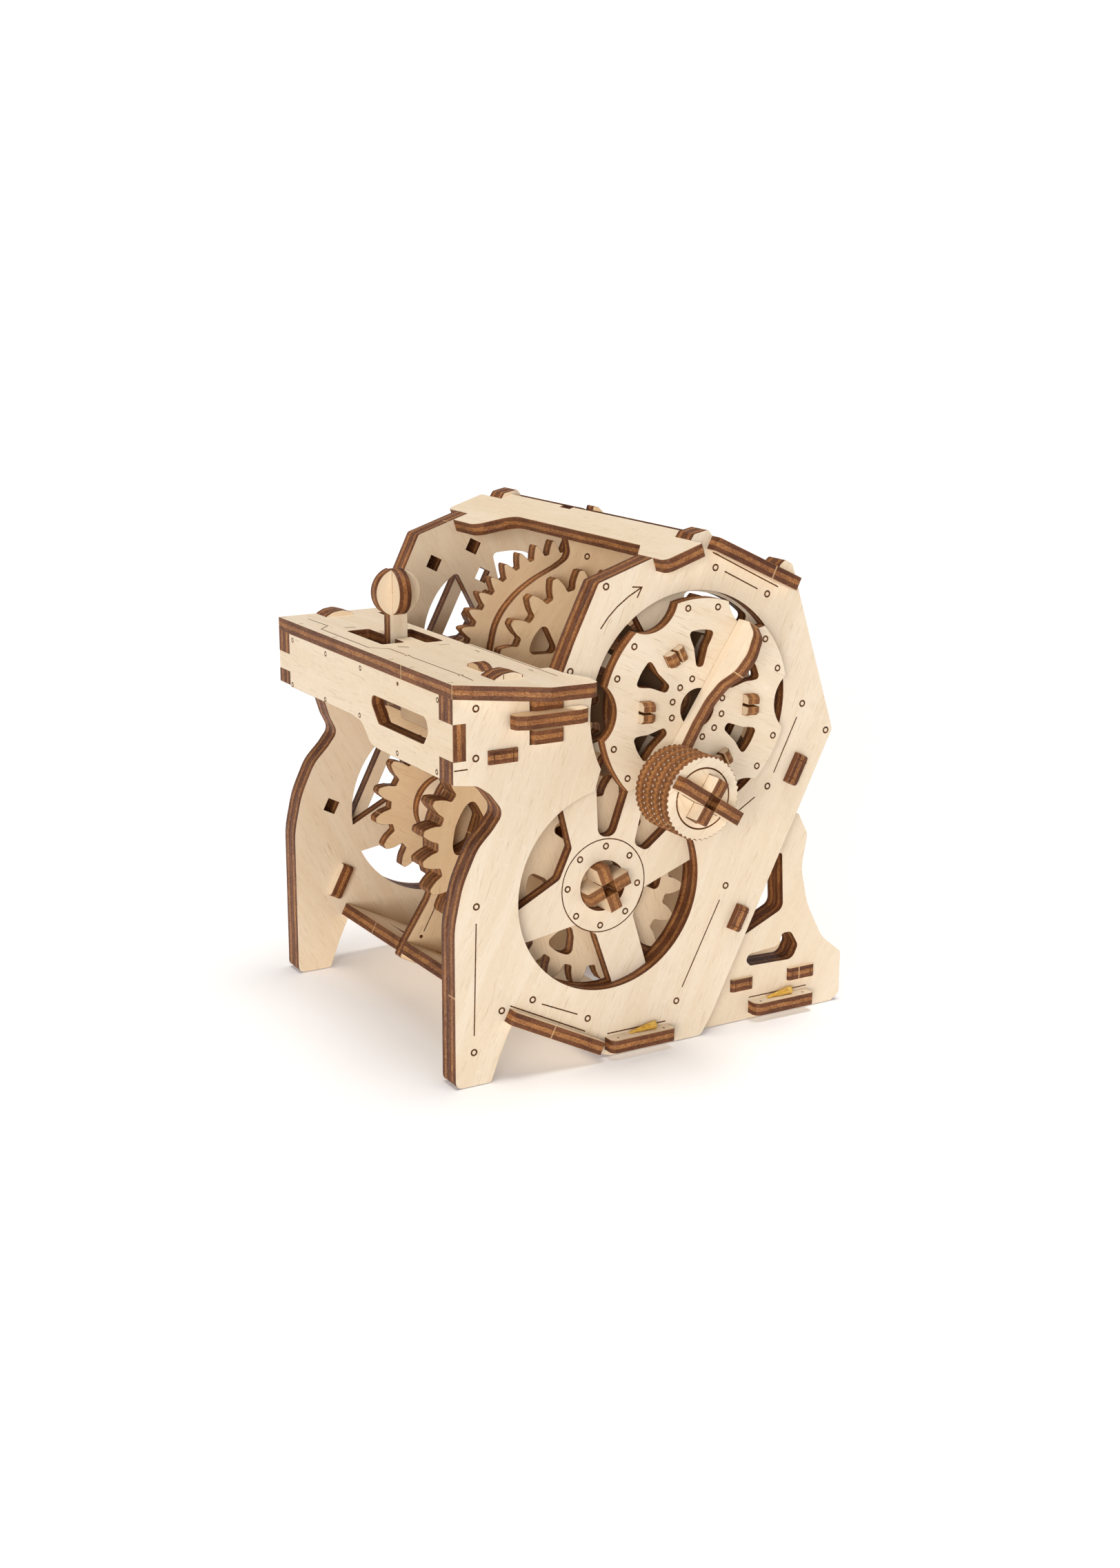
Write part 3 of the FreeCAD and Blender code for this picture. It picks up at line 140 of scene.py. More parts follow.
# Pale birch veneer: A runs along the grain, C across it, both in millimetres.
VENEER, t, gi, go = group("birch_veneer", [("A", F), ("C", F), ("S", F), ("Burn", F), ("Tone", C3)], [("Color", C3), ("Height", F)])
A, C, S, BURN, TONE = gi["A"], gi["C"], gi["S"], gi["Burn"], gi["Tone"]
wob = t.math("MULTIPLY", t.math("SUBTRACT", t.noise(t.vec(t.math("MULTIPLY", A, 0.022), t.math("MULTIPLY", C, 0.03), t.math("ADD", S, 2.0)), detail=1.0), 0.5), 7.0)
CW = t.math("ADD", C, wob)
bands = t.noise(t.vec(t.math("MULTIPLY", A, 0.010), t.math("MULTIPLY", CW, 0.24), S), detail=3.0, rough=0.55)
streak = t.noise(t.vec(t.math("MULTIPLY", A, 0.16), t.math("MULTIPLY", CW, 2.9), t.math("ADD", S, 7.0)), detail=3.0, rough=0.62)
fibre = t.noise(t.vec(t.math("MULTIPLY", A, 0.42), t.math("MULTIPLY", CW, 7.5), t.math("ADD", S, 17.0)), detail=2.0, rough=0.6)
pore = t.noise(t.vec(t.math("MULTIPLY", A, 0.15), t.math("MULTIPLY", CW, 4.2), t.math("ADD", S, 13.0)), detail=1.0, rough=0.4)
cloud = t.noise(t.vec(t.math("MULTIPLY", A, 0.016), t.math("MULTIPLY", C, 0.028), t.math("ADD", S, 21.0)), detail=2.0)
fleck = t.noise(t.vec(t.math("MULTIPLY", A, 0.75), t.math("MULTIPLY", CW, 0.36), t.math("ADD", S, 31.0)), detail=2.0, rough=0.6)
col = t.mix(t.smooth(bands, 0.36, 0.66), lin(239, 221, 195), lin(235, 214, 185))
col = t.mix(t.smooth(cloud, 0.40, 0.72, 0.0, 0.40), col, lin(230, 206, 173))
col = t.mix(t.smooth(streak, 0.50, 0.76, 0.0, 0.34), col, lin(220, 193, 158))
col = t.mix(t.smooth(fibre, 0.52, 0.72, 0.0, 0.22), col, lin(206, 176, 138))
col = t.mix(t.smooth(pore, 0.665, 0.74, 0.0, 0.50), col, lin(186, 150, 110))
col = t.mix(t.smooth(fleck, 0.56, 0.74, 0.0, 0.22), col, lin(246, 234, 213))
col = t.mix(1.0, col, TONE, "MULTIPLY")
col = t.mix(t.math("MULTIPLY", BURN, 0.75, clamp=True), col, lin(188, 128, 62))
t.put(go["Color"], col)
t.put(go["Height"], t.math("SUBTRACT", t.math("ADD", t.math("MULTIPLY", streak, 0.4), t.math("MULTIPLY", fibre, 0.3)), t.smooth(pore, 0.64, 0.74, 0.0, 0.5)))

# Laser-burnt edge: L runs along the edge, D is the distance from the middle of the sheet, both in millimetres.
BURNT, t, gi, go = group("laser_edge", [("L", F), ("D", F), ("S", F), ("Light", F)], [("Color", C3), ("Height", F), ("Rough", F)])
L, D, S, LIGHT = gi["L"], gi["D"], gi["S"], gi["Light"]
wav = t.math("MULTIPLY", t.math("SUBTRACT", t.noise(t.vec(t.math("MULTIPLY", L, 0.10), S, 4.0), detail=2.0), 0.5), 0.9)
DW = t.math("ADD", D, wav)
AD = t.math("ABSOLUTE", DW)
grit = t.noise(t.vec(t.math("MULTIPLY", L, 2.1), t.math("MULTIPLY", D, 2.6), S), detail=3.0, rough=0.7)
soot = t.noise(t.vec(t.math("MULTIPLY", L, 0.11), t.math("MULTIPLY", D, 0.25), t.math("ADD", S, 5.0)), detail=3.0, rough=0.6)
ply = t.noise(t.vec(t.math("MULTIPLY", L, 0.35), t.math("MULTIPLY", D, 4.2), t.math("ADD", S, 9.0)), detail=2.0)
outer = t.mix(t.smooth(t.math("ADD", t.math("MULTIPLY", grit, 0.5), t.math("MULTIPLY", soot, 0.5)), 0.38, 0.66), lin(80, 41, 20), lin(128, 77, 43))
core = t.mix(t.smooth(t.math("ADD", t.math("MULTIPLY", grit, 0.65), t.math("MULTIPLY", soot, 0.35)), 0.38, 0.66), lin(122, 72, 37), lin(188, 130, 74))
isc = t.smooth(AD, 0.52, 0.86, 1.0, 0.0)
ec = t.mix(isc, outer, core)
ec = t.mix(t.smooth(ply, 0.55, 0.72, 0.0, 0.38), ec, lin(96, 52, 26))
glue = t.math("MULTIPLY", t.smooth(AD, 0.62, 0.74), t.smooth(AD, 0.80, 0.94, 1.0, 0.0))
ec = t.mix(t.math("MULTIPLY", glue, 0.45), ec, lin(62, 30, 14))
ec = t.mix(t.math("MULTIPLY", LIGHT, 0.62), ec, t.mix(grit, lin(150, 94, 44), lin(206, 146, 78)))
# break marks of the small bridges that held the piece in its board
cell = t.math("ADD", t.math("DIVIDE", L, 31.0), t.math("MULTIPLY", S, 0.377))
near = t.math("MULTIPLY", t.math("ABSOLUTE", t.math("SUBTRACT", t.math("FRACT", cell), 0.5)), 31.0)
white = t.add("ShaderNodeTexWhiteNoise", noise_dimensions="2D")
t.put(white.inputs["Vector"], t.vec(t.math("FLOOR", cell), t.math("FLOOR", t.math("MULTIPLY", S, 3.1)), 0.0))
tick = t.math("MULTIPLY", t.smooth(t.math("ADD", near, t.math("MULTIPLY", t.math("SUBTRACT", grit, 0.5), 0.25)), 0.13, 0.27, 1.0, 0.0),
              t.math("GREATER_THAN", white.outputs["Value"], 0.72))
ec = t.mix(t.math("MULTIPLY", tick, 0.70), ec, lin(216, 176, 128))
t.put(go["Color"], ec)
t.put(go["Height"], t.math("ADD", t.math("MULTIPLY", grit, 0.7), t.math("MULTIPLY", tick, 0.5)))
t.put(go["Rough"], t.smooth(grit, 0.3, 0.7, 0.72, 0.46))


def unit(v):
    return Vector(v).normalized()


def basis(n, grain):
    """In-plane axes of a sheet: u along the grain, w across it.  grain turns from the sheet's own first axis."""
    n = unit(n)
    if abs(n.x) > 0.99:
        e1, e2 = Vector((0, 1, 0)), Vector((0, 0, 1))
    else:
        e1 = Vector((1, 0, 0))
        e2 = n.cross(e1).normalized()
    a = math.radians(grain)
    return e1 * math.cos(a) + e2 * math.sin(a), -e1 * math.sin(a) + e2 * math.cos(a)


def surface(name, axes, grain=60.0, seed=0.0, light=0.0, rim=False, tone=0.0, painted_shade=1.0, gloss=False, ends=False):
    """Plywood material.  axes is a list of (sheet normal, [distances of the sheets' middles along it in mm])."""
    mat = bpy.data.materials.new(name)
    mat.use_nodes = True
    nt = mat.node_tree
    nt.nodes.clear()
    k = Tree(nt)
    out, bsdf = k.add("ShaderNodeOutputMaterial"), k.add("ShaderNodeBsdfPrincipled")
    k.put(out.inputs["Surface"], bsdf.outputs[0])
    coord = k.add("ShaderNodeTexCoord")
    scaled = k.add("ShaderNodeVectorMath", operation="SCALE")
    k.put(scaled.inputs[0], coord.outputs["Object"])
    scaled.inputs["Scale"].default_value = 1000.0
    P, N = scaled.outputs[0], coord.outputs["Normal"]
    n0 = unit(axes[0][0])
    u, w = basis(n0, grain)
    cu, cw, cn = k.dot(P, u), k.dot(P, w), k.dot(P, n0)
    sd = k.math("ADD", k.math("MULTIPLY", k.math("FLOOR", k.math("DIVIDE", k.math("ADD", cn, 0.05), T)), 1.7), seed)
    veneer = k.add("ShaderNodeGroup", node_tree=VENEER)
    burn = k.add("ShaderNodeAttribute", attribute_name="burn")
    hue = tuple(1.0 - tone * (1.0 - c) for c in (1.03, 0.82, 0.52))
    # the second factor darkens the sheet as painted shade
    hue = (hue[0] * painted_shade, hue[1] * painted_shade ** 1.2, hue[2] * painted_shade ** 1.4, 1.0)
    for s, v in (("A", cu), ("C", cw), ("S", sd), ("Burn", burn.outputs["Fac"]), ("Tone", hue)):
        k.put(veneer.inputs[s], v)
    # how much the surface faces along a sheet normal, and how far it is from the nearest sheet's middle
    facing, dist = None, None
    for n, mids in axes:
        n = unit(n)
        f = k.math("ABSOLUTE", k.dot(N, n))
        c = k.dot(P, n)
        d = None
        for m in mids:
            one = k.math("SUBTRACT", c, m)
            if d is None:
                d = one
            else:
                sel = k.math("LESS_THAN", k.math("ABSOLUTE", one), k.math("ABSOLUTE", d))
                d = k.math("ADD", k.math("MULTIPLY", sel, one), k.math("MULTIPLY", k.math("SUBTRACT", 1.0, sel), d))
        if facing is None:
            facing, dist = f, d
        else:
            facing = k.math("MAXIMUM", facing, f)
            sel = k.math("LESS_THAN", k.math("ABSOLUTE", d), k.math("ABSOLUTE", dist))
            dist = k.math("ADD", k.math("MULTIPLY", sel, d), k.math("MULTIPLY", k.math("SUBTRACT", 1.0, sel), dist))
    nu, nw = k.math("ABSOLUTE", k.dot(N, u)), k.math("ABSOLUTE", k.dot(N, w))
    pick = k.math("LESS_THAN", nu, nw)
    along = k.math("ADD", k.math("MULTIPLY", pick, cu), k.math("MULTIPLY", k.math("SUBTRACT", 1.0, pick), cw))
    edge = k.add("ShaderNodeGroup", node_tree=BURNT)
    for s, v in (("L", along), ("D", dist), ("S", seed + 0.5), ("Light", light)):
        k.put(edge.inputs[s], v)
    if rim and gloss:
        color = k.mix(0.35, edge.outputs["Color"], lin(124, 76, 34))
        face = 0.0
    elif rim:
        color = k.mix(0.30, edge.outputs["Color"], lin(204, 158, 104))
        face = 0.4
    else:
        face = k.smooth(facing, 0.86, 0.93)
        if ends:
            # the tenon ends that stand out of the walls are burnt all round
            face = k.math("MULTIPLY", face, k.smooth(k.math("ABSOLUTE", k.math("SUBTRACT", k.dot(P, (1, 0, 0)), -12.75)), 59.15, 59.35, 1.0, 0.0))
        color = k.mix(face, edge.outputs["Color"], veneer.outputs["Color"])
    k.put(bsdf.inputs["Base Color"], color)
    if gloss:
        bsdf.inputs["Roughness"].default_value = 0.30
    elif rim:
        bsdf.inputs["Roughness"].default_value = 0.55
    else:
        k.put(bsdf.inputs["Roughness"], k.math("ADD", k.math("MULTIPLY", face, 0.62), k.math("MULTIPLY", k.math("SUBTRACT", 1.0, face), edge.outputs["Rough"])))
    bsdf.inputs["Specular IOR Level"].default_value = 0.60 if gloss else 0.34
    bump = k.add("ShaderNodeBump")
    bump.inputs["Strength"].default_value = 0.35
    bump.inputs["Distance"].default_value = 0.00012
    h = k.math("ADD", k.math("MULTIPLY", face, veneer.outputs["Height"]), k.math("MULTIPLY", k.math("SUBTRACT", 1.0, face), k.math("MULTIPLY", edge.outputs["Height"], 2.2)))
    k.put(bump.inputs["Height"], h)
    k.put(bsdf.inputs["Normal"], bump.outputs[0])
    return mat


def simple(name, build):
    mat = bpy.data.materials.new(name)
    mat.use_nodes = True
    nt = mat.node_tree
    nt.nodes.clear()
    k = Tree(nt)
    out, bsdf = k.add("ShaderNodeOutputMaterial"), k.add("ShaderNodeBsdfPrincipled")
    k.put(out.inputs["Surface"], bsdf.outputs[0])
    coord = k.add("ShaderNodeTexCoord")
    scaled = k.add("ShaderNodeVectorMath", operation="SCALE")
    k.put(scaled.inputs[0], coord.outputs["Object"])
    scaled.inputs["Scale"].default_value = 1000.0
    build(k, bsdf, scaled.outputs[0])
    return mat


# burnt colour of the engraved lines; the same material also paints shade in three square holes and in the gap on the
# lower front plate
def engraving_and_shade_look(k, bsdf, P):
    n = k.noise(P, scale=1.4, detail=3.0, rough=0.7)
    k.put(bsdf.inputs["Base Color"], k.mix(k.smooth(n, 0.35, 0.7), lin(60, 31, 14), lin(122, 76, 36)))
    bsdf.inputs["Roughness"].default_value = 0.75
    bsdf.inputs["Specular IOR Level"].default_value = 0.2


ENGRAVED_AND_SHADE = simple("burnt_engraving_and_painted_shade", engraving_and_shade_look)


def toothpick_look(k, bsdf, P):
    stretched = k.add("ShaderNodeVectorMath", operation="MULTIPLY")
    k.put(stretched.inputs[0], P)
    stretched.inputs[1].default_value = (3.6, 0.35, 3.6)
    n = k.noise(stretched.outputs[0], scale=1.0, detail=3.0, rough=0.6)
    m = k.noise(P, scale=0.35, detail=2.0)
    c = k.mix(k.smooth(n, 0.35, 0.68), lin(222, 176, 66), lin(176, 122, 26))
    c = k.mix(k.smooth(m, 0.45, 0.7, 0.0, 0.4), c, lin(236, 204, 120))
    k.put(bsdf.inputs["Base Color"], c)
    bsdf.inputs["Roughness"].default_value = 0.42
    bump = k.add("ShaderNodeBump")
    bump.inputs["Strength"].default_value = 0.5
    bump.inputs["Distance"].default_value = 0.0001
    k.put(bump.inputs["Height"], n)
    k.put(bsdf.inputs["Normal"], bump.outputs[0])


TOOTHPICK = simple("toothpick_wood_grain", toothpick_look)

# ------------------------------------------------------------------ which way each sheet lies
X = (1.0, 0.0, 0.0)


def yz(angle):
    a = math.radians(angle)
    return (0.0, math.cos(a), math.sin(a))


def level_of(n, y, z):
    """Distance along n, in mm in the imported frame, of the plane through (y, z)."""
    return n[1] * (y + OY) + n[2] * z


def roof_pt(s, up):
    return (45.8 + s * math.cos(ROOF) - up * math.sin(ROOF), 141.0 + s * math.sin(ROOF) + up * math.cos(ROOF))


def rear_pt(s, up):
    return (81.8 + s * math.cos(REAR) + up * math.sin(REAR), 148.1 - s * math.sin(REAR) + up * math.cos(REAR))


def low_pt(s, up):
    return (15.7 + s * VV[0] + up * UU[0], 17.75 + s * VV[1] + up * UU[1])


def xs(*lefts):
    return [(X, [x + 2.0 + OX for x in lefts])]


def zs(*lows):
    return [((0, 0, 1), [z + 2.0 for z in lows])]


def ys(*mids):
    return [((0, 1, 0), [y + OY for y in mids])]


def through(n, *points):
    return [(n, [level_of(n, *p) for p in points])]


NR, NB, NL, NV = (0.0, -math.sin(ROOF), math.cos(ROOF)), (0.0, math.sin(REAR), math.cos(REAR)), (0.0, UU[0], UU[1]), (0.0, VV[0], VV[1])


def off(cy, cz, v):
    return (cy + v * VV[0], cz + v * VV[1])


s1, s2 = yz(117.5), yz(177.5)
SHEETS = {
    # node: (sheets, grain angle, seed, light of the edges)
    "right_outer_plate": (xs(-4), 67, 1, 0.05),
    "right_inner_plate": (xs(-8), 60, 2, 0),
    "left_inner_plate": (xs(-114.5), 118, 3, 0),
    "left_outer_plate": (xs(-118.5), 64, 4, 0.05),
    "middle_plate": (xs(-70.6), 66, 5, 0),
    "rail_guide": (xs(-62.4), 90, 6, 0),
    "shift_fork": (xs(-94.4), 30, 7, 0),
    "lever_plate": (xs(-73.5), 86, 8, 0),
    "lever_brackets": (xs(-79.0, -68.0), 90, 9, 0),
    "front_panel": (ys(2.0), 3, 10, 0.05),
    "console_rib": (ys(17.3), 2, 11, 0),
    "lever_cross_disc": (ys(18.3), 88, 12, 0),
    "console_top": (zs(113.0), 2, 13, 0.08),
    "console_shelf": (zs(93.6), 4, 14, 0),
    "base_shelf": (zs(10.0), 2, 15, 0),
    "base_tie_front": (zs(2.2), 1, 16, 0),
    "base_tie_rear": (zs(2.0), 1, 17, 0),
    "shift_rail_lower": (zs(97.8), 1, 18, 0.1),
    "shift_rail_bar": (zs(103.3), 1, 19, 0.1),
    "shift_rail_upper": (zs(107.3), 1, 20, 0.1),
    "roof_plate": (through(NR, roof_pt(0, -2.0)), 2, 21, 0.05),
    "upper_rear_plate": (through(NB, rear_pt(0, 2.0)), 1, 22, 0),
    "lower_front_plate": (through(NL, low_pt(0, 2.0)), 1, 23, 0),
    "upper_rear_brace": (through(NV, off(UY, UZ, 44.95)), 1, 24, 0),
    "lower_rear_brace": (through(NV, off(LY, LZ, 47.3)), 1, 25, 0),
    "left_stop_tab": (through(NV, off(LY, LZ, -21.3)), 1, 26, 0),
    "idler_axle_blade_a": (through(yz(90), (IY, IZ)), 2, 27, 0.1),
    "idler_axle_blade_b": (through(yz(0), (IY, IZ)), 2, 28, 0.1),
    "idler_collar": (xs(-105.9), 40, 29, 0),
    "lower_shaft_blade_a": (through(yz(111), (LY, LZ)), 2, 30, 0.35),
    "lower_shaft_blade_b": (through(yz(21), (LY, LZ)), 2, 31, 0.35),
    "output_shaft_blade_a": (through(yz(111), (UY, UZ)), 2, 32, 0.2),
    "output_shaft_blade_b": (through(yz(21), (UY, UZ)), 2, 33, 0.2),
    "lower_shaft_collars": (xs(-105.9, -79.2, -58.0, -16.6), 20, 34, 0),
    "output_shaft_collars": (xs(-105.9, -66.4, -58.0), 70, 35, 0),
    "counter_input_gear": (xs(-12.4), 105, 36, 0.1),
    "counter_wide_gear_left": (xs(-66.2), 40, 37, 0.15),
    "counter_wide_gear_right": (xs(-62.2), 78, 38, 0.15),
    "counter_fine_gear": (xs(-75.0), 20, 39, 0.1),
    "counter_reverse_gear": (xs(-110.1), 150, 40, 0.1),
    "input_gear": (xs(-12.4), 15, 41, 0.1),
    "direct_gear": (xs(-62.2), 52, 42, 0.2),
    "slow_gear": (xs(-75.0), 48, 43, 0.2),
    "reverse_gear": (xs(-110.1), 100, 44, 0.1),
    "reverse_idler_gear": (xs(-110.1), 10, 45, 0.1),
    "sleeve_dog_left": (xs(-100.4), 30, 46, 0),
    "sleeve_core": (xs(-96.4, -92.4), 60, 47, 0),
    "sleeve_dog_right": (xs(-88.4), 90, 48, 0),
    "crank_disc": (xs(0.0), -24, 49, 0.15),
    "crank_arm": (through(yz(147), (UY, UZ)), 86, 50, 0.1),
    "knob_axle_blade": (through(yz(57), (KNOB_Y, KNOB_Z)), 4, 51, 0.1),
    "drum_spacers": ([(s1, [level_of(s1, UY, UZ) - 18, level_of(s1, UY, UZ) + 18]), (s2, [level_of(s2, UY, UZ) - 18, level_of(s2, UY, UZ) + 18])], 2, 52, 0.3),
    "knob_front_disc": (xs(22.5), 35, 53, 0.25),
    "knob_discs": (xs(10.5, 14.5, 18.5), 70, 54, 0.30),
    "knob_bushing": (xs(22.5), 120, 55, 0.3),
    "right_leg_liner": (xs(-12.0), 64, 56, 0),
    "left_leg_liner": (xs(-110.5), 70, 57, 0),
}
# inner pieces are tinted more golden, outer ones paler
TONES = {"direct_gear": 0.55, "slow_gear": 0.45, "middle_plate": 0.42, "counter_wide_gear_left": 0.55, "counter_wide_gear_right": 0.5, "counter_fine_gear": 0.5,
         "counter_reverse_gear": 0.5, "counter_input_gear": 0.3, "input_gear": 0.3, "reverse_gear": 0.5, "reverse_idler_gear": 0.5, "shift_fork": 0.5, "sleeve_core": 0.5,
         "console_rib": 0.45, "upper_rear_brace": 0.35, "lower_rear_brace": 0.35, "lower_front_plate": 0.12, "base_shelf": 0.3, "left_inner_plate": 0.06, "left_outer_plate": 0.06,
         "front_panel": 0.0, "console_top": 0.0, "right_outer_plate": -0.10, "right_inner_plate": -0.08, "crank_disc": -0.10, "crank_arm": -0.06, "knob_front_disc": -0.10, "left_leg_liner": 0.06, "lower_shaft_blade_a": 0.25, "lower_shaft_blade_b": 0.25}
# painted shade: sheets painted darker than bare wood where they sit in shade inside the box, picked to come near the
# photo
PAINTED_SHADE = {"input_gear": 0.18, "counter_input_gear": 0.92, "drum_spacers": 0.8, "rail_guide": 0.6, "upper_rear_brace": 0.7, "console_rib": 0.75, "lever_brackets": 0.7,
         "console_shelf": 0.9}


def dress(obj, mats):
    """Gives a CAD node its materials and its softened corners."""
    obj.data.materials.clear()
    for m in mats:
        obj.data.materials.append(m)
    weld = obj.modifiers.new("weld", "WELD")
    weld.merge_threshold = 1e-6
    flat = obj.modifiers.new("flat", "DECIMATE")
    flat.decimate_type = "DISSOLVE"
    flat.angle_limit = math.radians(0.6)
    bevel = obj.modifiers.new("corner", "BEVEL")
    bevel.width = 0.00014
    bevel.segments = 2
    bevel.limit_method = "ANGLE"
    bevel.angle_limit = math.radians(40)
    bevel.use_clamp_overlap = True
    bevel.harden_normals = True
    if len(mats) > 1:
        bevel.material = 1


for node, (axes, grain, seed, light) in SHEETS.items():
    if node not in NODES:
        continue
    gloss = node in ("knob_front_disc", "knob_discs")
    face = surface("ply_" + node, axes, grain, float(seed), light, tone=TONES.get(node, 0.0), painted_shade=PAINTED_SHADE.get(node, 1.0),
                   ends=node in ("upper_rear_brace", "lower_rear_brace", "console_shelf"))
    rim = surface("rim_" + node, axes, grain, float(seed), light, rim=True, gloss=gloss)
    dress(NODES[node], [face, rim])
for node in ("toothpick_wedges", "lever_pivot_pin"):
    dress(NODES[node], [TOOTHPICK])
missing = sorted(set(NODES) - set(SHEETS) - {"toothpick_wedges", "lever_pivot_pin"})
if missing:
    raise RuntimeError("nodes with no look: %s" % missing)


# ------------------------------------------------------------------ engraved marks
class Marks:
    """Thin closed strips and rings that lie in the surface of a sheet."""

    def __init__(self, name, body, origin, e1, e2):
        self.name, self.body = name, body
        self.o, self.e1, self.e2 = origin, unit(e1), unit(e2)
        self.n = self.e1.cross(self.e2).normalized()
        self.bm = bmesh.new()
        self.top, self.low = 0.025, -0.10

    def p(self, q, h):
        return self.o + (self.e1 * q[0] + self.e2 * q[1] + self.n * h) / 1000.0

    def solid(self, left, right, closed):
        bm, n = self.bm, len(left)
        rows = []
        for q, r in zip(left, right):
            rows.append([bm.verts.new(self.p(q, self.low)), bm.verts.new(self.p(q, self.top * 0.4)), bm.verts.new(self.p(((q[0] * 0.8 + r[0] * 0.2), (q[1] * 0.8 + r[1] * 0.2)), self.top)),
                         bm.verts.new(self.p(((q[0] * 0.2 + r[0] * 0.8), (q[1] * 0.2 + r[1] * 0.8)), self.top)), bm.verts.new(self.p(r, self.top * 0.4)), bm.verts.new(self.p(r, self.low))])
        m = len(rows[0])
        for i in range(n if closed else n - 1):
            a, b = rows[i], rows[(i + 1) % n]
            for j in range(m):
                bm.faces.new((a[j], a[(j + 1) % m], b[(j + 1) % m], b[j]))
        if not closed:
            bm.faces.new(rows[0])
            bm.faces.new(list(reversed(rows[-1])))

    def ring(self, c, r=0.84, w=0.52, n=28):
        left, right = [], []
        for i in range(n):
            a = 2 * math.pi * i / n
            left.append((c[0] + (r + w / 2) * math.cos(a), c[1] + (r + w / 2) * math.sin(a)))
            right.append((c[0] + (r - w / 2) * math.cos(a), c[1] + (r - w / 2) * math.sin(a)))
        self.solid(left, right, True)

    def arc(self, c, r, a0, a1, w=0.36, step=4.0):
        n = max(2, int(abs(a1 - a0) / step))
        self.line([(c[0] + r * math.cos(math.radians(a0 + (a1 - a0) * i / n)), c[1] + r * math.sin(math.radians(a0 + (a1 - a0) * i / n))) for i in range(n + 1)], w)

    def line(self, pts, w=0.40):
        pts = [Vector(p) for p in pts]
        left, right = [], []
        for i, p in enumerate(pts):
            a = (pts[i] - pts[i - 1]).normalized() if i > 0 else None
            b = (pts[i + 1] - pts[i]).normalized() if i < len(pts) - 1 else None
            a, b = a or b, b or a
            d = (a + b).normalized()
            s = Vector((-d.y, d.x))
            k = 1.0 / max(0.4, s.dot(Vector((-a.y, a.x))))
            left.append(tuple(p + s * (w / 2 * k)))
            right.append(tuple(p - s * (w / 2 * k)))
        d0, d1 = (pts[0] - pts[1]).normalized() * w * 0.35, (pts[-1] - pts[-2]).normalized() * w * 0.35
        c0, c1 = pts[0] + d0, pts[-1] + d1
        left.insert(0, tuple(c0 + (Vector(left[0]) - pts[0]) * 0.35))
        right.insert(0, tuple(c0 + (Vector(right[0]) - pts[0]) * 0.35))
        left.append(tuple(c1 + (Vector(left[-1]) - pts[-1]) * 0.35))
        right.append(tuple(c1 + (Vector(right[-1]) - pts[-1]) * 0.35))
        self.solid(left, right, False)

    def dot(self, c, r=0.3, n=12):
        bm = self.bm
        low = [bm.verts.new(self.p((c[0] + r * math.cos(2 * math.pi * i / n), c[1] + r * math.sin(2 * math.pi * i / n)), self.low)) for i in range(n)]
        top = [bm.verts.new(self.p((c[0] + r * math.cos(2 * math.pi * i / n), c[1] + r * math.sin(2 * math.pi * i / n)), self.top)) for i in range(n)]
        for i in range(n):
            bm.faces.new((low[i], low[(i + 1) % n], top[(i + 1) % n], top[i]))
        bm.faces.new(top)
        bm.faces.new(list(reversed(low)))

    def done(self):
        bmesh.ops.recalc_face_normals(self.bm, faces=self.bm.faces)
        mesh = bpy.data.meshes.new(self.name)
        self.bm.to_mesh(mesh)
        self.bm.free()
        obj = bpy.data.objects.new(self.name, mesh)
        bpy.context.scene.collection.objects.link(obj)
        mesh.materials.append(ENGRAVED_AND_SHADE)
        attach(obj, self.body)
        return obj


def on_wall(name, x, body="frame", sign=1):
    """Marks drawn in (y, z) on a plane square to x."""
    if sign > 0:
        return Marks(name, body, at(x, 0, 0), (0, 1, 0), (0, 0, 1))
    m = Marks(name, body, at(x, 0, 0), (0, 1, 0), (0, 0, 1))
    m.n = -m.n
    return m


# right wall, outer sheet
m = on_wall("marks_right_outer_wall", 0.0)
for c in ((48.2, 139.9), (36.8, 117.0), (84.9, 142.5), (103.4, 133.4), (117.6, 99.2), (126.8, 90.0), (105.7, 75.2), (91.4, 46.3), (74.5, 12.8), (47.5, 4.8), (43.5, 13.2),
          (25.0, 22.5), (14.9, 21.1), (6.9, 53.4), (5.9, 10.2), (7.0, 95.9), (7.1, 109.8)):
    m.ring(c)
for pts in (((6.8, 48.4), (6.0, 15.3)), ((115.7, 95.2), (107.9, 79.2)), ((89.3, 42.1), (76.5, 16.9)), ((28.1, 20.6), (39.9, 15.2)), ((17.7, 22.0), (42.6, 9.4)),
            ((83.9, 146.9), (107.2, 135.2)), ((88.2, 141.1), (99.8, 135.2)), ((94.7, 68.6), (101.1, 72.4)), ((0.4, 93.1), (4.4, 93.1)), ((50.4, 7.1), (70.6, 7.1))):
    m.line(pts)
m.line(((46.6, 128.2), (49.0, 131.2), (51.9, 133.9), (55.6, 136.5), (59.8, 138.7)), 0.42)
m.line(((56.9, 139.1), (60.0, 138.8), (58.5, 136.0)), 0.42)
m.done()

# hub of the inner sheet, seen through the opening
m = on_wall("marks_right_inner_wall", -4.0)
m.arc((50.9, 51.6), 14.0, 0, 360, 0.36, 3.0)
for c in ((51.6, 63.4), (59.7, 59.4), (62.5, 50.6), (58.5, 42.5), (49.9, 39.6), (41.7, 43.7), (38.8, 52.3), (42.9, 60.6)):
    m.ring(c, 0.80, 0.50)
m.line(((104.2, 7.0), (126.0, 7.0)), 0.36)
m.done()

# left wall, inside face
m = on_wall("marks_left_inner_wall", -110.5)
m.line(((19.9, 20.0), (40.0, 9.4)), 0.36)
m.done()
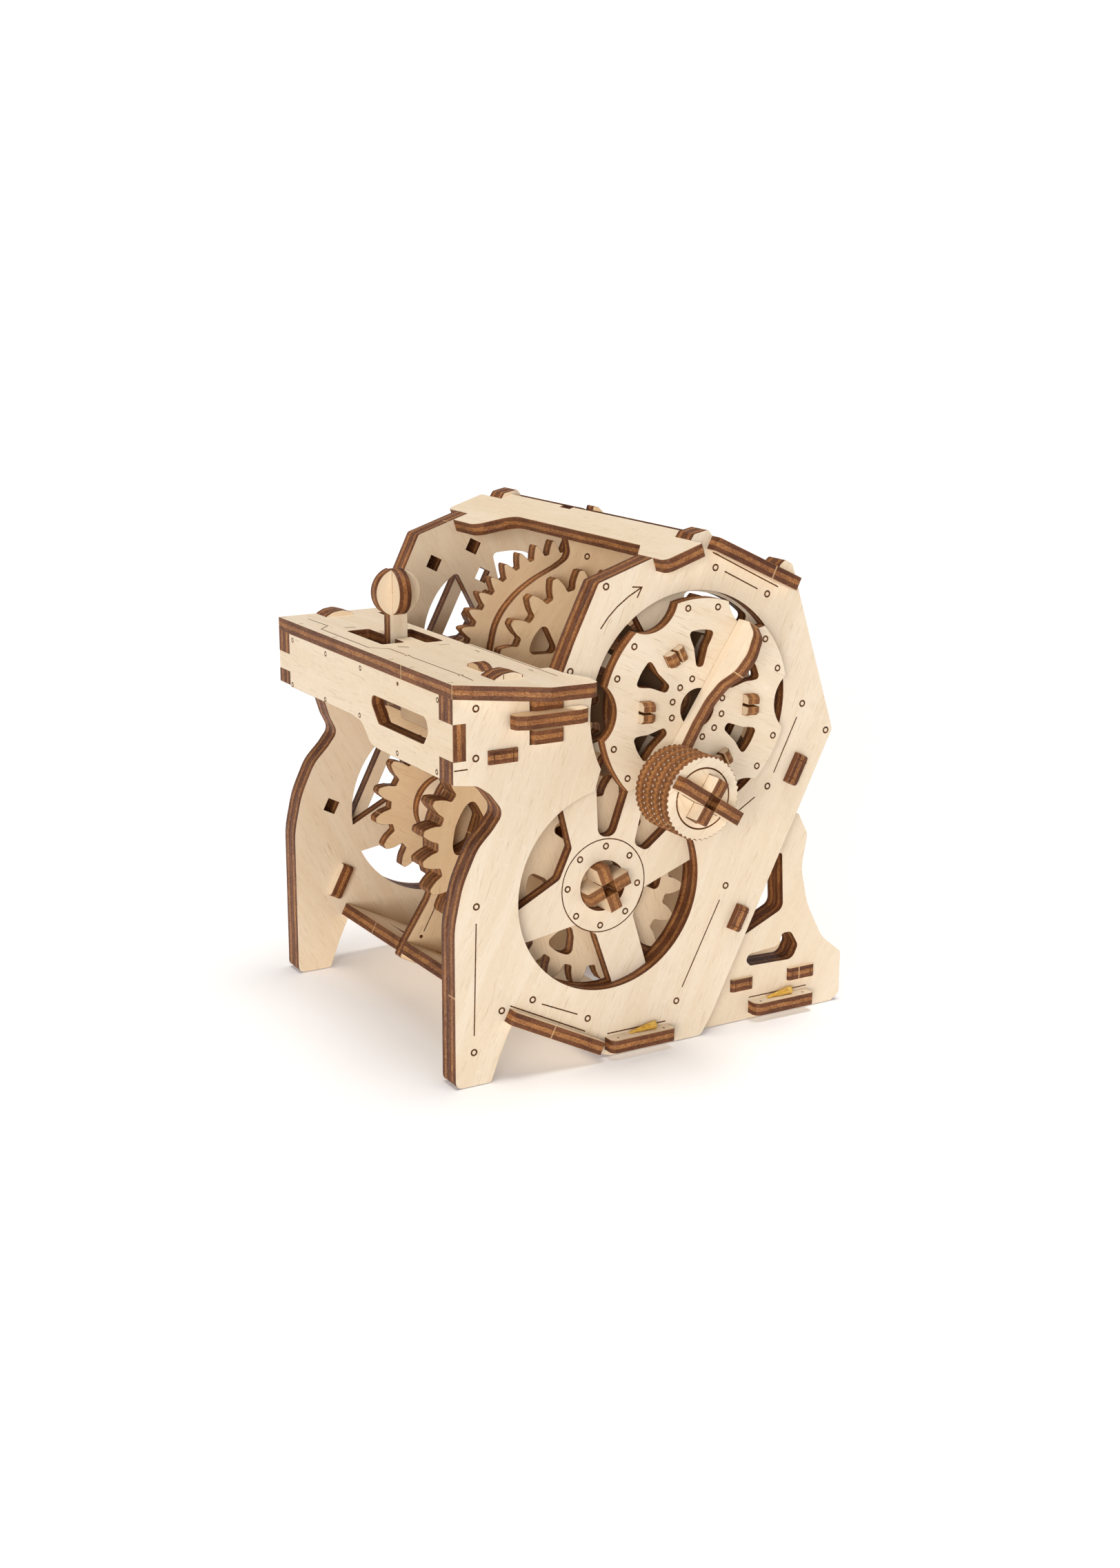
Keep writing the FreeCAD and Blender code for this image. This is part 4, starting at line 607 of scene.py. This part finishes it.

# stand-ins of painted shade: dark plates behind three square holes of the left inner wall; they are no real pieces
for i, (y, z) in enumerate(((51.2, 131.4), (65.6, 135.9), (13.0, 55.0))):
    bm = bmesh.new()
    ring0, ring1 = [], []
    for a in (45, 135, 225, 315):
        ra = math.radians(a) - LEAN
        q = (y + 2.97 * math.cos(ra), z + 2.97 * math.sin(ra))
        ring0.append(bm.verts.new(at(-114.62, *q)))
        ring1.append(bm.verts.new(at(-114.42, *q)))
    bm.faces.new(ring0)
    bm.faces.new(list(reversed(ring1)))
    for j in range(4):
        bm.faces.new((ring0[j], ring1[j], ring1[(j + 1) % 4], ring0[(j + 1) % 4]))
    bmesh.ops.recalc_face_normals(bm, faces=bm.faces)
    mesh = bpy.data.meshes.new("hole_shade_%d" % i)
    bm.to_mesh(mesh)
    bm.free()
    obj = bpy.data.objects.new("hole_shade_%d" % i, mesh)
    bpy.context.scene.collection.objects.link(obj)
    mesh.materials.append(ENGRAVED_AND_SHADE)
    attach(obj, "frame")

# left wall, outside face, the same marks as on the right
m = on_wall("marks_left_outer_wall", -118.5, sign=-1)
for c in ((48.2, 139.9), (36.8, 117.0), (84.9, 142.5), (103.4, 133.4), (117.6, 99.2), (126.8, 90.0), (105.7, 75.2), (91.4, 46.3), (74.5, 12.8), (47.5, 4.8), (43.5, 13.2),
          (25.0, 22.5), (14.9, 21.1), (6.9, 53.4), (5.9, 10.2), (7.0, 95.9), (7.1, 109.8)):
    m.ring(c)
for pts in (((6.8, 48.4), (6.0, 15.3)), ((115.7, 95.2), (107.9, 79.2)), ((89.3, 42.1), (76.5, 16.9)), ((28.1, 20.6), (39.9, 15.2)), ((17.7, 22.0), (42.6, 9.4)),
            ((83.9, 146.9), (107.2, 135.2)), ((88.2, 141.1), (99.8, 135.2)), ((50.4, 7.1), (70.6, 7.1))):
    m.line(pts)
m.done()

# middle plate
m = on_wall("marks_middle_plate", -66.6)
m.ring((82.5, 137.1), 0.80, 0.50)
m.line(((28.4, 31.7), (23.9, 23.5)), 0.36)
m.dot((22.9, 21.9), 0.60)
m.line(((21.9, 18.5), (30.2, 14.0)), 0.36)
m.done()

# painted shade of the gap beside the middle plate, on the lower front plate
u0 = at(0, *low_pt(0, 4.0))
m = Marks("painted_gap_shade_lower_front_plate", "frame", u0, (1, 0, 0), (0.0, VV[0], VV[1]))
m.solid([(-97.4, 10.1), (-93.0, 9.9), (-89.0, 9.6), (-84.0, 9.2)], [(-97.4, 10.25), (-93.0, 10.7), (-89.0, 11.4), (-84.0, 12.4)], False)
m.done()

# lines burnt across the ends of the tenons in the right wall
m = on_wall("marks_shelf_tenon", 0.8)
for y in (12.3, 18.4):
    m.line(((y, 93.75), (y, 97.45)), 0.30)
m.line(((10.95, 96.75), (19.75, 96.75)), 0.22)
m.done()
m = on_wall("marks_brace_tenon", 2.0)
for q in (((42.95, -0.7), (46.95, -0.7)), ((42.95, -6.6), (46.95, -6.6)), ((43.8, -8.0), (43.8, 0.8))):
    m.line([(UY + v * VV[0] + u * UU[0], UZ + v * VV[1] + u * UU[1]) for v, u in q], 0.26)
for q in (((45.3, 3.6), (49.3, 3.6)), ((45.3, 8.8), (49.3, 8.8))):
    m.line([(LY + v * VV[0] + u * UU[0], LZ + v * VV[1] + u * UU[1]) for v, u in q], 0.26)
m.done()
m = on_wall("marks_base_shelf_tenons", -3.0)
for y in (98.4, 103.6, 120.1, 126.8):
    m.line(((y, 10.15), (y, 13.85)), 0.26)
m.done()

# front panel, drawn in (x, z)
m = Marks("marks_front_panel", "frame", at(0, 0, 0), (1, 0, 0), (0, 0, 1))
for x in (-107.9, -82.9, -58.3, -8.9):
    m.ring((x, 111.25), 0.62, 0.38)
m.dot((-33.5, 111.2), 0.62)
for x in (-108.8, -83.9, -59.3):
    m.ring((x, 96.9), 0.62, 0.38)
for x in (-34.4, -9.7):
    m.ring((x, 90.8), 0.62, 0.38)
m.done()

# console top, drawn in (x, y)
m = Marks("marks_console_top", "frame", at(0, 0, 117.0), (1, 0, 0), (0, 1, 0))
m.line(((-110.6, 6.7), (-96.6, 7.1), (-92.6, 3.1), (-58.5, 3.1), (-54.3, 7.6), (-44.5, 7.8)), 0.38)
m.line(((-41.0, 7.8), (-12.0, 8.2)), 0.38)
m.line(((-9.6, 8.2), (-2.8, 7.8)), 0.38)
m.ring((-42.8, 7.8), 0.62, 0.36)
m.ring((-10.8, 8.2), 0.62, 0.36)
for p in (((-91.7, 10.2), (-91.2, 13.6)), ((-56.7, 11.4), (-54.2, 13.8)), ((-52.6, 23.2), (-52.1, 26.3)), ((-90.4, 10.2), (-89.9, 13.6)), ((-55.4, 11.0), (-52.9, 13.4))):
    m.line(p, 0.32)
for x in (-117.2, -104.0, -78.4, -40.0, -27.0, -3.4):
    m.line(((x, 0.5), (x, 2.0)), 0.30)
m.line(((-50.4, 30.3), (-48.4, 31.0), (3.0, 30.9)), 0.30)
for x in (-38.6, -7.2):
    m.line(((x - 1.2, 28.4), (x + 1.2, 28.4)), 0.34)
m.done()

# short lines burnt on the tabs that come up through the console top
m = on_wall("marks_wall_tab", 0.0)
m.line(((15.7, 117.04), (15.7, 118.25)), 0.26)
m.line(((21.6, 117.04), (21.6, 117.75)), 0.26)
m.done()
m = Marks("marks_rib_head", "frame", at(0, 15.3, 0), (1, 0, 0), (0, 0, 1))
m.line(((-19.9, 117.04), (-19.9, 117.85)), 0.24)
m.line(((-13.4, 117.04), (-13.4, 118.0)), 0.24)
m.done()

# crank disc
m = on_wall("marks_crank_disc", 4.0, "crank")
for kk in range(6):
    for d in (-10.0, 10.0):
        a = math.radians(27.5 + 60 * kk + d)
        m.ring((UY + 29.46 * math.cos(a), UZ + 29.46 * math.sin(a)), 0.80, 0.50)
for kk in range(12):
    ra = math.radians(12.8 + 30 * kk)
    if abs(math.sin(ra - math.radians(57))) * 8.92 > 3.3:
        m.ring((UY + 8.92 * math.cos(ra), UZ + 8.92 * math.sin(ra)), 0.78, 0.50)
m.done()

# foot bars and wedges
for name, x0, z in (("marks_front_tie", 0.0, 6.2), ("marks_rear_tie", -4.0, 6.0)):
    m = Marks(name, "frame", at(0, 0, z), (1, 0, 0), (0, 1, 0))
    y0, y1 = (52.6, 68.6) if x0 == 0.0 else (107.0, 123.0)
    for y in (y0, y1):
        m.dot((x0 + 2.4, y), 0.34)
        m.dot((-118.5 - 2.4 - x0, y), 0.34)
    m.done()

# ------------------------------------------------------------------ stage
floor_mesh = bpy.data.meshes.new("floor")
size = 40.0
floor_mesh.from_pydata([(-size, -size, 0), (size, -size, 0), (size, size, 0), (-size, size, 0)], [], [(0, 1, 2, 3)])
floor = bpy.data.objects.new("floor", floor_mesh)
floor.location = (0, 0, -0.0002)
bpy.context.scene.collection.objects.link(floor)


def floor_look(k, bsdf, P):
    bsdf.inputs["Base Color"].default_value = (0.900, 0.885, 0.880, 1)
    bsdf.inputs["Roughness"].default_value = 1.0
    bsdf.inputs["Specular IOR Level"].default_value = 0.0
    bsdf.inputs["Emission Color"].default_value = (1.0, 0.985, 0.98, 1)
    bsdf.inputs["Emission Strength"].default_value = 0.20


floor_mesh.materials.append(simple("pale_floor", floor_look))

# a studio that is white along the horizon, with a taller white backdrop on one side, and dimmer overhead
world = bpy.data.worlds.new("studio")
bpy.context.scene.world = world
world.use_nodes = True
wt = Tree(world.node_tree)
bg = world.node_tree.nodes["Background"]
way = wt.add("ShaderNodeTexCoord")
split = wt.add("ShaderNodeSeparateXYZ")
wt.put(split.inputs[0], way.outputs["Generated"])
backdrop = wt.math("MULTIPLY", wt.smooth(wt.dot(way.outputs["Generated"], (-0.861, 0.509, 0.0)), 0.45, 0.80), wt.smooth(split.outputs["Z"], 0.14, 0.42, 1.0, 0.0))
white = wt.math("MAXIMUM", backdrop, wt.smooth(split.outputs["Z"], 0.09, 0.16, 1.0, 0.0))
wt.put(bg.inputs["Color"], wt.mix(white, (0.17, 0.166, 0.162, 1), (1.03, 1.010, 1.005, 1)))
bg.inputs["Strength"].default_value = 1.0


def sun(name, toward, power, soft, color):
    data = bpy.data.lights.new(name, "SUN")
    data.energy = power
    data.angle = math.radians(soft)
    data.color = color
    obj = bpy.data.objects.new(name, data)
    obj.rotation_mode = "QUATERNION"
    obj.rotation_quaternion = (-Vector(toward)).to_track_quat("-Z", "Y")
    obj.location = Vector(toward) * 2.0
    bpy.context.scene.collection.objects.link(obj)
    return obj


sun("key", (0.06, 0.04, 1.0), 2.25, 30.0, (1.0, 0.985, 0.965))
sun("fill", (0.72, -0.68, 0.12), 1.88, 26.0, (0.995, 0.988, 0.975))

# ------------------------------------------------------------------ camera
FOCAL_PX, WIDTH, HEIGHT = 2958.57, 1624, 2274
az, el, roll = 1.0368593, 0.2592656, 0.0051805
back = Vector((math.sin(az) * math.cos(el), -math.cos(az) * math.cos(el), math.sin(el)))
right0 = Vector((math.cos(az), math.sin(az), 0))
up0 = back.cross(right0)
right = right0 * math.cos(roll) + up0 * math.sin(roll)
up = up0 * math.cos(roll) - right0 * math.sin(roll)
cam_data = bpy.data.cameras.new("camera")
cam_data.sensor_fit = "AUTO"
cam_data.sensor_width = 36.0
cam_data.lens = FOCAL_PX * 36.0 / HEIGHT
cam_data.clip_start, cam_data.clip_end = 0.01, 50.0
cam = bpy.data.objects.new("camera", cam_data)
cam.matrix_world = Matrix((
    (right.x, up.x, back.x, 0.522317),
    (right.y, up.y, back.y, -0.317213),
    (right.z, up.z, back.z, 0.231848),
    (0, 0, 0, 1)))
bpy.context.scene.collection.objects.link(cam)
bpy.context.scene.camera = cam
bpy.context.scene.view_settings.view_transform = "Standard"
bpy.context.scene.view_settings.look = "None"
